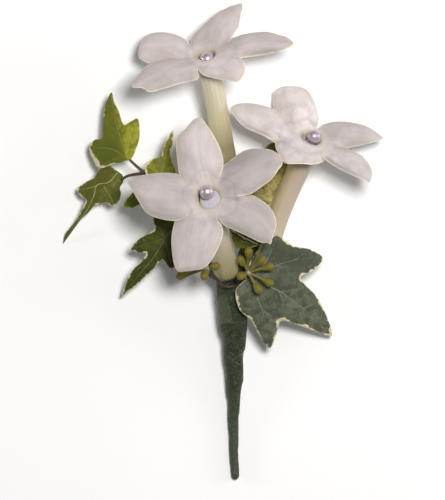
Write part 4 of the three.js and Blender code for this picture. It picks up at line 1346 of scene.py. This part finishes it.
def corolla_tube(bm, floret, seed):
    """The tube: a hollow wall from the mouth to its swollen base, open for the wire."""
    route = tube_route(floret)
    outer = read_off(TUBE_PROFILE)
    wall, bore = 0.55, 0.75

    def place(u, v):
        angle = TURN * (u % 1)
        outside = v <= 0.5
        share = 2 * v if outside else 2 - 2 * v
        point, way, side = route.at(share)
        uneven = ripple(math.cos(angle) * 3, math.sin(angle) * 3, share * 2 + seed)
        ribs = 0.07 * math.cos(5 * angle + seed) + 0.10 * uneven
        radius = outer(share) + ribs * smooth(0, 0.1, share) * (1 - smooth(0.93, 1.0, share))
        if not outside:
            radius = max(bore, radius - wall)
        if v in (0.0, 1.0):
            radius = outer(share) - wall / 2
        out = side * math.cos(angle) + way.cross(side) * math.sin(angle)
        # The sideways part of the outward way places the painted shade on the tube's left side
        return point + out * radius, {"edge": FAR_IN, "tube": clamp(share, 0.001, 1), "flank": out.x}

    skin(bm, 56, 110, place)


class BOUTONNIERE_OT_florets(bpy.types.Operator):
    """Builds the three stephanotis florets, each a corolla of five lobes on its tube"""

    bl_idname = "boutonniere.florets"
    bl_label = "Florets"

    def execute(self, context):
        settings = context.scene.boutonniere_florets
        for number, (name, floret) in enumerate(FLORETS.items()):
            bm = new_mesh("edge", "along", "over", "run", "depth", "tone", "tube", "flank")
            corolla = Corolla(floret, number * 10)
            for lobe in corolla.lobes:
                petal(bm, corolla, lobe, settings)
            funnel(bm, corolla, settings)
            corolla_tube(bm, floret, number * 2.1)
            colour = settings.pale_colour if name == "right" else settings.petal_colour
            material = waxy_petal(f"petal_{name}", settings, colour, floret)
            finish_piece(bm, f"corolla_{name}", [material], [f"floret_{name}"])
        return {"FINISHED"}


class BOUTONNIERE_OT_pins(bpy.types.Operator):
    """Builds the cotton tips, pearl heads and taped wires of the florets, and finishes the steel pins"""

    bl_idname = "boutonniere.pins"
    bl_label = "Pins and wires"

    def execute(self, context):
        settings = context.scene.boutonniere_pins
        cotton, pearl, steel = cotton_wool(settings), pearl_lustre(settings), drawn_steel(settings)
        tape = floral_tape("wire_tape", settings.wire_colour, settings.wire_lap_and_highlight, settings.wire_lap_and_highlight, 0.4)
        for number, (name, floret) in enumerate(FLORETS.items()):
            middle, out, across, _ = mouth(floret)
            self.cotton_tip(name, floret, middle + Vector(floret["plug"]), out, cotton, number)
            centre = middle + out * (COTTON_HEIGHT + GAP + PEARL_RADIUS) + Vector(floret["pearl"])
            self.pearl_head(name, centre, out, across, pearl)
            self.wire(name, floret, tape)
            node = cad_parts[f"pin_{name}"]
            node.data.materials.clear()
            node.data.materials.append(steel)
        return {"FINISHED"}

    def cotton_tip(self, name, floret, middle, out, material, number):
        """A plug of cotton, lumpy on its dome."""
        route = Route([middle + out * lerp(COTTON_HEIGHT, -COTTON_DEPTH, i / 20) for i in range(21)])
        full = floret["cotton"]
        outline = read_off([(full * value, share) for value, share in COTTON_PROFILE])

        def radius(share, angle):
            lumps = ripple(math.cos(angle) * 2.2, math.sin(angle) * 2.2, share * 9 + number)
            fine = ripple(math.cos(angle) * 7, math.sin(angle) * 7, share * 26 + number)
            return outline(share) * (1 + 0.03 * lumps + 0.02 * fine)

        bm = new_mesh()
        turned(bm, route, radius, 56, even_shares(48))
        finish_piece(bm, f"cotton_tip_{name}", [material], [f"cotton_{name}"])

    def pearl_head(self, name, centre, out, across, material):
        """A pearl with the drilled mouth that the shank goes into."""
        bm = new_mesh()
        bmesh.ops.create_uvsphere(bm, u_segments=48, v_segments=32, radius=PEARL_RADIUS)
        seat = [face for face in bm.faces if face.calc_center_median().z < -PEARL_RADIUS * 0.975]
        bmesh.ops.inset_region(bm, faces=seat, thickness=0.06, depth=0.0)
        bmesh.ops.translate(bm, vec=(0, 0, 0.3), verts=list({vert for face in seat for vert in face.verts}))
        for face in bm.faces:
            face.smooth = True
        # The shank leans a little across, and the drilled mouth turns to it
        lean = (out * 0.987 - across * 0.159).normalized()
        turn = Vector((0, 0, 1)).rotation_difference(lean).to_matrix()
        bmesh.ops.rotate(bm, cent=(0, 0, 0), matrix=turn, verts=bm.verts)
        bmesh.ops.translate(bm, vec=centre, verts=bm.verts)
        finish_piece(bm, f"pearl_head_{name}", [material], [f"pearl_{name}"])

    def wire(self, name, floret, material):
        """The wire of a floret with its winding of tape."""
        tube = tube_route(floret)
        start = (COTTON_DEPTH - 1.5) / tube.length
        points = [tube.at(share)[0] for share in (start, 0.35, 0.6, 0.85, 1)]
        route = Route(spline(points + in_handle(f"wire_{name}", floret["wire_end"]), 16))
        ends = 0.4 / route.length
        pitch, bare, step = 3.2, 0.47, 0.05  # length of a turn of tape, half width, and its rise in a turn

        def lap(share, angle):
            return (share * route.length / pitch - angle / TURN) % 1

        def radius(share, angle):
            return (bare + step * lap(share, angle)) * rounded(share, ends)

        bm = new_mesh("lap")
        shares = even_shares(round(route.length / 0.35), ends)
        turned(bm, route, radius, 14, shares, lambda share, angle: {"lap": lap(share, angle)})
        finish_piece(bm, f"taped_wire_{name}", [material], [f"wire_{name}"])


# Ivy


def leaf_spots(flat, spots):
    """The sum at a place of spots with a middle, an amount and a reach each."""
    return sum(amount * math.exp(-(flat - Vector(at)).length_squared / reach**2)
               for at, amount, reach in spots)


def distances(lines):
    """A search tree over lines with a width each, and the width at each of its points."""
    points = [(point, width * (1 - 0.55 * k / len(line)))
              for width, line in lines for k, point in enumerate(line)]
    tree = kdtree.KDTree(len(points))
    for i, (point, _) in enumerate(points):
        tree.insert((point.x, point.y, 0), i)
    tree.balance()
    return tree, [width for _, width in points]


def leaf_blade(bm, name, per_span, rings, seed, settings, material=0):
    """An ivy blade: one closed skin from the heart over the rim and back beneath, with sunk veins."""
    leaf = LEAVES[name]
    heart, level = Vector(leaf["heart"][:2]), leaf["heart"][2]
    edge = spline(leaf["outline"], per_span, closed=True)
    count = len(edge)
    rim = distances([(1.0, spline(leaf["outline"], 40, closed=True))])[0]
    veins, widths = distances([(width, spline(line, 30)) for width, line in leaf["veins"]])
    thickness, depth, cream = (length / MM for length in (
        settings.leaf_thickness, settings.vein_depth, settings.margin_width))
    cushion, pucker, crimp = 0.22, 0.22, 0.12  # heights between the veins, of broad and of fine waves

    def place(u, v):
        upper = v <= 0.5
        share = 1 - (1 - (2 * v if upper else 2 - 2 * v)) ** 1.35
        flat = heart.lerp(edge[round(u * count) % count], share)
        off = flat - heart
        height = level + off.dot(Vector(leaf["lean"])) - leaf["droop"] * off.length_squared
        _, index, aside = veins.find((flat.x, flat.y, 0))
        near = aside / widths[index]
        inside = rim.find((flat.x, flat.y, 0))[2]
        height += cushion * (1 - math.exp(-((aside / 1.6) ** 2))) * smooth(0, 1.5, inside)
        height -= depth * math.exp(-(near**2))
        height += pucker * ripple(flat.x * 0.35, flat.y * 0.35, seed) * share
        near_rim = 1 - smooth(0.0, 1.8, inside)
        height += crimp * ripple(flat.x * 0.9, flat.y * 0.9, seed + 5) * near_rim * share
        # Painted shade: its spots, and the side of each fold that drops away
        dim = leaf_spots(flat, leaf.get("dim", ()))
        for start, end, drop, shade in leaf.get("fold", ()):
            along, away = Vector(end) - Vector(start), flat - Vector(start)
            past = (away.x * along.y - away.y * along.x) / along.length
            height -= drop * past_crease(past, 2)
            dim += shade * smooth(-0.3, 0.6, past)
        half = thickness / 2 * math.sqrt(max(0.0, 1 - share**9))
        return Vector((flat.x, flat.y, height + (half if upper else -half))), {
            "dim": clamp(dim),
            "margin": inside - cream - leaf_spots(flat, leaf["cream"]),
            "vein": min(near, 9.0),
            "under": 0.0 if upper else smooth(0.0, 0.05, 1 - share),
        }

    skin(bm, count, rings * 2, place, material)


def ivy_stalk(bm, points, start, end, material=1, swell=0.0):
    """A round stalk with faint ridges, thicker where it joins another."""
    route = Route(spline(points, 14))
    ends = 0.35 / route.length

    def radius(share, angle):
        full = lerp(start, end, share) + swell * math.exp(-((share * route.length / 0.9) ** 2))
        ridge = 1 + 0.05 * math.cos(5 * angle) + 0.06 * ripple(share * route.length * 0.8, angle * 0.3, start)
        return full * ridge * rounded(share, ends)

    shares = even_shares(max(8, round(route.length / 0.45)), ends)
    turned(bm, route, radius, 12, shares, material=material)


class BOUTONNIERE_OT_ivy(bpy.types.Operator):
    """Builds the ivy leaves on their stalks and the vine tip with its three leaves"""

    bl_idname = "boutonniere.ivy"
    bl_label = "Ivy"

    def execute(self, context):
        settings = context.scene.boutonniere_ivy
        looks = {name: ivy_blade(name, settings, cover) for name, cover in VEIN_COVER.items()}
        stalk = woody_stalk("ivy_stalk", settings.stalk_colour, settings.stalk_shade)

        bm = new_mesh("margin", "vein", "under", "dim")
        ivy_stalk(bm, in_handle("vine", STALK_END)[::-1] + VINE, 0.55, 0.5, 2)
        for number, (name, route) in enumerate(SPRIG_STALKS.items()):
            foot = LEAVES[name].get("foot", LEAVES[name]["heart"])
            ivy_stalk(bm, route + [foot], 0.42, 0.36, 2, 0.15)
            leaf_blade(bm, name, 14, 40, number * 3.3, settings, int(name == "curled_left"))
        materials = [looks["bright"], looks["olive"], stalk]
        finish_piece(bm, "ivy_sprig", materials, ["ivy_sprig_left"])

        for name, slot, look, per_span, rings in (
            ("lower_left", "leaf_dark", "dark", 14, 40),
            ("lower_right", "leaf_grey", "grey", 16, 64),
            ("centre", "leaf_bright", "olive", 12, 20),
            ("back", "leaf_dark", "straw", 14, 30),
        ):
            bm = new_mesh("margin", "vein", "under", "dim")
            leaf_blade(bm, name, per_span, rings, len(name), settings)
            route = [LEAVES[name]["heart"]] + LEAF_STALKS[name] + in_handle(f"leaf_{name}", STALK_END)
            ivy_stalk(bm, route, 0.5, 0.55)
            # A blade behind, in shade, takes the dark green look as painted shade
            if f"{name}_back" in LEAVES:
                leaf_blade(bm, f"{name}_back", 12, 20, 9, settings, 2)
            materials = [looks[look], stalk, looks["dark"]]
            finish_piece(bm, f"ivy_{name}", materials, [f"ivy_leaf_{name}"])
        return {"FINISHED"}


# Buds


class BOUTONNIERE_OT_buds(bpy.types.Operator):
    """Builds the spray of ivy buds: its stalks, hubs and the buds on their stalks"""

    bl_idname = "boutonniere.buds"
    bl_label = "Bud spray"

    def execute(self, context):
        settings = context.scene.boutonniere_buds
        bm = new_mesh("along")
        ivy_stalk(bm, in_handle("buds", STALK_END)[::-1] + BUD_STALK, 0.55, 0.5)
        ivy_stalk(bm, BUD_BRANCH, 0.5, 0.45)
        umbels = (BUD_STALK[-1], UMBEL_RIGHT), (BUD_BRANCH[-1], UMBEL_LEFT)
        for number, (hub, buds) in enumerate(umbels):
            self.hub(bm, hub)
            for k, bud in enumerate(buds):
                self.bud(bm, Vector(hub), Vector(bud), number * 10 + k)
        self.bare_stalk(bm)
        stalk = woody_stalk("bud_peduncle", settings.peduncle_colour, settings.peduncle_shade)
        finish_piece(bm, "ivy_buds", [bud_skin(settings), stalk], ["bud_spray"])
        return {"FINISHED"}

    def hub(self, bm, hub):
        """The uneven knob that an umbel's stalks grow from."""
        made = bmesh.ops.create_icosphere(bm, subdivisions=3, radius=0.8)
        along = bm.verts.layers.float["along"]
        for vert in made["verts"]:
            vert.co *= 1 + 0.12 * noise.noise(vert.co * 2.2)
            vert[along] = 0.03
        for face in {face for vert in made["verts"] for face in vert.link_faces}:
            face.smooth = True
        bmesh.ops.translate(bm, vec=hub, verts=made["verts"])

    def bud(self, bm, hub, bud, seed):
        """A bud and its stalk in one skin: a slim stalk, a club, a ring and a domed crown."""
        way = (bud - hub).normalized()
        length = (bud - hub).length
        sag = way.orthogonal().normalized() * (0.12 * length * ripple(seed * 1.3, 0.5, 2.0))
        route = Route(spline([hub, hub.lerp(bud, 0.5) + sag, bud - way * 1.0, bud + way * 1.3], 16))
        total = route.length
        club = BUD_PROFILE[0][1]
        crown = [(width, 1 - back / total) for width, back in BUD_PROFILE]
        outline = read_off([(0.36, 0.0), (0.38, 0.2), (0.50, 0.5)] + crown)
        split = 1 - (club + 0.1) / total
        shares = [split * i / 10 for i in range(10)]
        shares += [lerp(split, 1.0, 1 - (1 - i / 30) ** 1.3) for i in range(31)]

        def radius(share, angle):
            return max(0, outline(share)) * (1 + 0.03 * math.cos(5 * angle)) if share < 1 else 0

        def values(share, angle):
            run, slim = share * total, total - club
            if run < slim:
                return {"along": lerp(0.06, 0.55, run / slim)}
            return {"along": lerp(0.55, 1.0, (run - slim) / club)}

        turned(bm, route, radius, 20, shares, values)

    def bare_stalk(self, bm):
        """A bud stalk that has lost its bud: it ends in a small cup."""
        hub, end = Vector(BUD_STALK[-1]), Vector(BARE_STALK)
        route = Route(spline([hub, hub.lerp(end, 0.5) + Vector((0.25, -0.1, 0)), end], 16))
        outline = read_off([(0.35, 0.0), (0.3, 0.4), (0.38, 0.85), (0.56, 0.965), (0.5, 0.99), (0.0, 1.0)])

        def radius(share, angle):
            return max(0, outline(share)) if share < 1 else 0

        turned(bm, route, radius, 14, even_shares(36), lambda share, angle: {"along": 0.1 + 0.3 * share})


# Tape


class BOUTONNIERE_OT_tape(bpy.types.Operator):
    """Builds the handle: floral tape wound down the stems to a thin tail"""

    bl_idname = "boutonniere.tape"
    bl_label = "Taped handle"

    def execute(self, context):
        settings = context.scene.boutonniere_tape
        profile = COLLAR + HANDLE
        route = Route(spline([at for at, _ in profile], 24))
        top, tip = profile[0][0][1], profile[-1][0][1]
        widths = read_off([(radius, (top - at[1]) / (top - tip)) for at, radius in profile])
        pitch, ridge = settings.lap_pitch / MM, settings.lap_height / MM
        ends = 0.8 / route.length

        def lap(share, angle):
            return (share * route.length / pitch - angle / TURN) % 1

        def flap(share, angle):
            """How far a place lies on the loose end of the tape, at the upper left."""
            point, way, side = route.at(share)
            out = side * math.cos(angle) + way.cross(side) * math.sin(angle)
            at = point + out * widths((top - point.y) / (top - tip))
            across = 1 - smooth(-0.25, 0.25, at.x - (1.1 + 0.24 * (-14.6 - at.y)))
            down = smooth(-22.4, -21.9, at.y) * (1 - smooth(-14.9, -14.4, at.y))
            return across * down * smooth(0.0, 0.3, out.z)

        def radius(share, angle):
            along, turn = share * route.length, lap(share, angle)
            full = widths((top - route.at(share)[0].y) / (top - tip))
            twist = angle - along * 0.25
            round_x, round_y = math.cos(angle) * 1.4, math.sin(angle) * 1.4
            crease = ripple(round_x + along * 0.22, round_y - along * 0.15, 4.0)
            fine = ripple(math.cos(twist) * 3.2, math.sin(twist) * 3.2, along * 0.9)
            raised = ridge * (smooth(0.0, 0.9, turn) - smooth(0.93, 1.0, turn) - 0.5) * min(1, full / 2.0)
            raised += (0.14 * crease + 0.08 * fine) * smooth(0, 0.02, share) * min(1, full / 2.5)
            return max(0.05, full + raised + 0.12 * flap(share, angle)) * rounded(share, ends)

        def values(share, angle):
            return {"lap": lap(share, angle), "flap": flap(share, angle)}

        bm = new_mesh("lap", "flap")
        turned(bm, route, radius, 96, even_shares(230, ends), values)
        colours = settings.tape_colour, settings.lap_and_highlight_colour, settings.flap_colour
        tape = floral_tape("floral_tape", *colours, 0.6)
        finish_piece(bm, "taped_handle", [tape], ["tape_wrap"])
        return {"FINISHED"}


# Stage


class BOUTONNIERE_OT_stage(bpy.types.Operator):
    """Sets the pale floor, the soft lights and the camera that looks down on the boutonniere"""

    bl_idname = "boutonniere.stage"
    bl_label = "Stage"

    def execute(self, context):
        settings = context.scene.boutonniere_stage
        scene = context.scene
        bm = bmesh.new()
        bmesh.ops.create_grid(bm, x_segments=4, y_segments=4, size=1.5)
        bmesh.ops.translate(bm, vec=(0, 0, -0.00005), verts=bm.verts)
        mesh = bpy.data.meshes.new("floor")
        bm.to_mesh(mesh)
        bm.free()
        floor = bpy.data.objects.new("floor", mesh)
        scene.collection.objects.link(floor)
        board = Finish("white_board", Roughness=0.8, Specular_IOR_Level=0.1)
        shade = [part * 0.985 for part in settings.floor_colour]
        mesh.materials.append(board.feed(board.mix(board.mottle(60.0), settings.floor_colour, shade)))

        self.soft_light("key", settings.key_place, 0.15, settings.key_power, (1.0, 0.985, 0.965))
        self.soft_light("fill", (0.44, 0.22, 0.40), 0.50, settings.fill_power, (0.96, 0.97, 1.0))
        self.soft_light("left", (-0.50, 0.03, 0.16), 0.11, settings.left_power, (1.0, 0.98, 0.96))
        self.soft_light("right", (0.50, 0.08, 0.17), 0.20, settings.right_power, (0.97, 0.98, 1.0))
        world = bpy.data.worlds.new("pale_room")
        world.use_nodes = True
        background = world.node_tree.nodes["Background"]
        background.inputs["Color"].default_value = (*settings.room_colour, 1.0)
        background.inputs["Strength"].default_value = settings.room_strength
        scene.world = world
        scene.view_settings.view_transform = "Standard"

        camera = bpy.data.cameras.new("camera")
        camera.sensor_width = 36.0
        height, level, span, aim = 2.0, 0.015, 0.135, -0.0023
        camera.lens = camera.sensor_width * (height - level) / span
        viewer = bpy.data.objects.new("camera", camera)
        viewer.location = (0.0, aim, height)
        scene.collection.objects.link(viewer)
        scene.camera = viewer
        return {"FINISHED"}

    def soft_light(self, name, place, size, power, colour):
        """A square soft box that looks at the middle of the boutonniere."""
        light = bpy.data.lights.new(name, "AREA")
        light.shape = "SQUARE"
        light.size = size
        light.energy = power
        light.color = colour
        lamp = bpy.data.objects.new(name, light)
        lamp.location = place
        lamp.rotation_mode = "QUATERNION"
        lamp.rotation_quaternion = (Vector((0, 0, 0.015)) - Vector(place)).to_track_quat("-Z", "Y")
        bpy.context.scene.collection.objects.link(lamp)


# Settings


def colour_setting(name, description, default):
    return bpy.props.FloatVectorProperty(
        name=name, description=description, default=default, subtype="COLOR", size=3, min=0, max=1)


def length_setting(name, description, default):
    return bpy.props.FloatProperty(
        name=name, description=description, default=default, min=0, unit="LENGTH", precision=5)


def power_setting(name, description, default):
    return bpy.props.FloatProperty(name=name, description=description, default=default, min=0, unit="POWER")


class FloretSettings(bpy.types.PropertyGroup):
    petal_colour: colour_setting("Petal", "Main colour of the lobes", (0.60, 0.54, 0.53))
    pale_colour: colour_setting("Pale petal", "Main colour of the palest floret", (0.72, 0.665, 0.645))
    petal_shade: colour_setting("Petal shade", "Second colour that clouds the lobes", (0.52, 0.455, 0.43))
    petal_light: colour_setting("Petal light", "Pale streaks along the lobes", (0.70, 0.65, 0.66))
    # Warm tint and painted shade inside the lobes' edges
    margin_tint_and_shade: colour_setting("Margin", "Warm tone inside the lobes' edges", (0.54, 0.46, 0.38))
    edge_colour: colour_setting("Edge", "Cream of the lobes' edges", (0.92, 0.86, 0.74))
    throat_colour: colour_setting("Throat", "Cream around the mouth", (0.68, 0.62, 0.52))
    # Painted shade of the throat wall round the cotton
    throat_shade_colour: colour_setting("Ring", "Olive tan of the throat's rim", (0.44, 0.375, 0.275))
    tip_colour: colour_setting("Tip", "Dry tips of the lobes", (0.62, 0.50, 0.42))
    streak_colour: colour_setting("Tube streaks", "Green streaks along the tube", (0.40, 0.35, 0.21))
    petal_thickness: length_setting("Petal thickness", "Thickness in the middle of a lobe", 0.0007)
    rim_roll: length_setting("Rim roll", "How far the lobes' edges roll down", 0.0005)


class PinSettings(bpy.types.PropertyGroup):
    cotton_colour: colour_setting("Cotton", "Colour of the cotton tips", (0.60, 0.555, 0.61))
    cotton_shade: colour_setting("Cotton shade", "Second colour of the cotton tips", (0.48, 0.44, 0.50))
    pearl_colour: colour_setting("Pearl", "Main colour of the pearls", (0.62, 0.52, 0.58))
    pearl_shade: colour_setting("Pearl shade", "Second colour of the pearls", (0.50, 0.41, 0.47))
    steel_colour: colour_setting("Steel", "Main colour of the pins' steel", (0.60, 0.60, 0.62))
    steel_shade: colour_setting("Steel shade", "Second colour of the pins' steel", (0.48, 0.48, 0.50))
    wire_colour: colour_setting("Wire tape", "Colour of the tape on the wires", (0.05, 0.085, 0.045))
    # Also painted as highlight along the tape's folds
    wire_lap_and_highlight: colour_setting("Wire lap", "Colour of that tape's overlapping edge", (0.10, 0.15, 0.08))


class IvySettings(bpy.types.PropertyGroup):
    bright_colour: colour_setting("Bright green", "Main green of the bright leaves", (0.35, 0.35, 0.026))
    bright_patch: colour_setting("Bright patches", "Patches on the bright leaves", (0.10, 0.112, 0.013))
    bright_vein: colour_setting("Bright veins", "Veins of the bright leaves", (0.30, 0.32, 0.07))
    dark_colour: colour_setting("Dark green", "Main green of the dark leaves", (0.075, 0.085, 0.012))
    dark_patch: colour_setting("Dark patches", "Patches on the dark leaves", (0.035, 0.045, 0.008))
    dark_vein: colour_setting("Dark veins", "Veins of the dark leaves", (0.20, 0.22, 0.08))
    olive_colour: colour_setting("Olive green", "Main green of the curled leaf", (0.14, 0.14, 0.022))
    olive_patch: colour_setting("Olive patches", "Patches on the curled leaf", (0.075, 0.085, 0.012))
    olive_vein: colour_setting("Olive veins", "Veins of the curled leaf", (0.46, 0.45, 0.20))
    straw_colour: colour_setting("Straw leaf", "Yellowed green of the leaf at the back", (0.42, 0.34, 0.10))
    straw_patch: colour_setting("Straw patches", "Patches on the leaf at the back", (0.10, 0.10, 0.025))
    straw_vein: colour_setting("Straw veins", "Veins of the leaf at the back", (0.45, 0.38, 0.16))
    grey_colour: colour_setting("Grey green", "Main green of the big leaf", (0.15, 0.163, 0.11))
    grey_patch: colour_setting("Grey patches", "Patches on the big leaf", (0.046, 0.056, 0.034))
    grey_vein: colour_setting("Grey veins", "Veins of the big leaf", (0.25, 0.28, 0.21))
    cream_colour: colour_setting("Cream", "Cream of the margins", (0.70, 0.62, 0.42))
    cream_shade: colour_setting("Cream shade", "Second colour of the margins", (0.48, 0.42, 0.22))
    under_colour: colour_setting("Underside", "Colour of the undersides", (0.22, 0.27, 0.13))
    stalk_colour: colour_setting("Stalks", "Main colour of the stalks", (0.10, 0.085, 0.03))
    stalk_shade: colour_setting("Stalk streaks", "Streaks on the stalks", (0.045, 0.035, 0.018))
    patch_strength: bpy.props.FloatProperty(
        name="Patches", description="How strongly the patches show",
        default=0.6, min=0, max=1, subtype="FACTOR")
    leaf_thickness: length_setting("Leaf thickness", "Thickness in the middle of a blade", 0.0005)
    vein_depth: length_setting("Vein depth", "How far the veins sink into a blade", 0.00012)
    margin_width: length_setting("Margin width", "Least width of the cream margin", 0.00008)


class BudSettings(bpy.types.PropertyGroup):
    bud_colour: colour_setting("Buds", "Main colour of the buds", (0.175, 0.150, 0.017))
    bud_shade: colour_setting("Bud streaks", "Darker streaks of buds and stalks", (0.075, 0.075, 0.010))
    crown_colour: colour_setting("Crowns", "Brown of the buds' tops", (0.20, 0.13, 0.02))
    stalk_colour: colour_setting("Bud stalks", "Olive green of the bud stalks", (0.165, 0.16, 0.045))
    hub_colour: colour_setting("Hubs", "Pale pink of the umbels' hubs", (0.48, 0.38, 0.42))
    peduncle_colour: colour_setting("Main stalks", "Colour of the umbels' stalks", (0.07, 0.05, 0.03))
    peduncle_shade: colour_setting("Main stalk streaks", "Streaks on those stalks", (0.035, 0.022, 0.018))


class TapeSettings(bpy.types.PropertyGroup):
    tape_colour: colour_setting("Tape", "Colour of the tape", (0.026, 0.035, 0.018))
    # Also painted as highlight along the tape's folds
    lap_and_highlight_colour: colour_setting("Lap", "Colour of the tape's overlapping edge", (0.105, 0.135, 0.07))
    flap_colour: colour_setting("Flap", "Colour of the tape's loose end", (0.13, 0.14, 0.07))
    lap_pitch: length_setting("Lap pitch", "Length of one turn of the tape", 0.009)
    lap_height: length_setting("Lap height", "Height of the tape's overlapping edge", 0.00022)


class StageSettings(bpy.types.PropertyGroup):
    floor_colour: colour_setting("Floor", "Colour of the floor", (0.97, 0.97, 0.97))
    room_colour: colour_setting("Room", "Colour of the light from all round", (0.93, 0.96, 1.0))
    room_strength: bpy.props.FloatProperty(
        name="Room light", description="Strength of the light from all round", default=0.09, min=0)
    key_place: bpy.props.FloatVectorProperty(
        name="Key light place", description="Where the overhead light hangs", default=(0.11, 0.12, 0.75),
        size=3, subtype="TRANSLATION", unit="LENGTH")
    key_power: power_setting("Key light", "Power of the overhead light", 4.95)
    fill_power: power_setting("Fill light", "Power of the broad light from the upper right", 0.5)
    left_power: power_setting("Left light", "Power of the low light from the left", 0.45)
    right_power: power_setting("Right light", "Power of the low light from the right", 0.575)


class BOUTONNIERE_PT_panel(bpy.types.Panel):
    """Lists the builders of the boutonniere with their settings"""

    bl_idname = "BOUTONNIERE_PT_panel"
    bl_label = "Boutonniere"
    bl_space_type = "VIEW_3D"
    bl_region_type = "UI"
    bl_category = "Boutonniere"

    def draw(self, context):
        for operator, group in BUILDERS:
            box = self.layout.box()
            box.operator(operator)
            settings = getattr(context.scene, group)
            for prop in settings.bl_rna.properties:
                if prop.identifier not in ("rna_type", "name"):
                    box.prop(settings, prop.identifier)


BUILDERS = [
    ("boutonniere.florets", "boutonniere_florets"),
    ("boutonniere.pins", "boutonniere_pins"),
    ("boutonniere.ivy", "boutonniere_ivy"),
    ("boutonniere.buds", "boutonniere_buds"),
    ("boutonniere.tape", "boutonniere_tape"),
    ("boutonniere.stage", "boutonniere_stage"),
]
GROUPS = {
    "boutonniere_florets": FloretSettings,
    "boutonniere_pins": PinSettings,
    "boutonniere_ivy": IvySettings,
    "boutonniere_buds": BudSettings,
    "boutonniere_tape": TapeSettings,
    "boutonniere_stage": StageSettings,
}
CLASSES = [
    *GROUPS.values(),
    BOUTONNIERE_OT_florets,
    BOUTONNIERE_OT_pins,
    BOUTONNIERE_OT_ivy,
    BOUTONNIERE_OT_buds,
    BOUTONNIERE_OT_tape,
    BOUTONNIERE_OT_stage,
    BOUTONNIERE_PT_panel,
]


def register():
    for cls in CLASSES:
        bpy.utils.register_class(cls)
    for name, group in GROUPS.items():
        setattr(bpy.types.Scene, name, bpy.props.PointerProperty(type=group))


def unregister():
    for name in GROUPS:
        delattr(bpy.types.Scene, name)
    for cls in reversed(CLASSES):
        bpy.utils.unregister_class(cls)


def main():
    register()
    make_groups()
    for operator, _ in BUILDERS:
        family, name = operator.split(".")
        getattr(getattr(bpy.ops, family), name)()


if __name__ == "__main__":
    main()
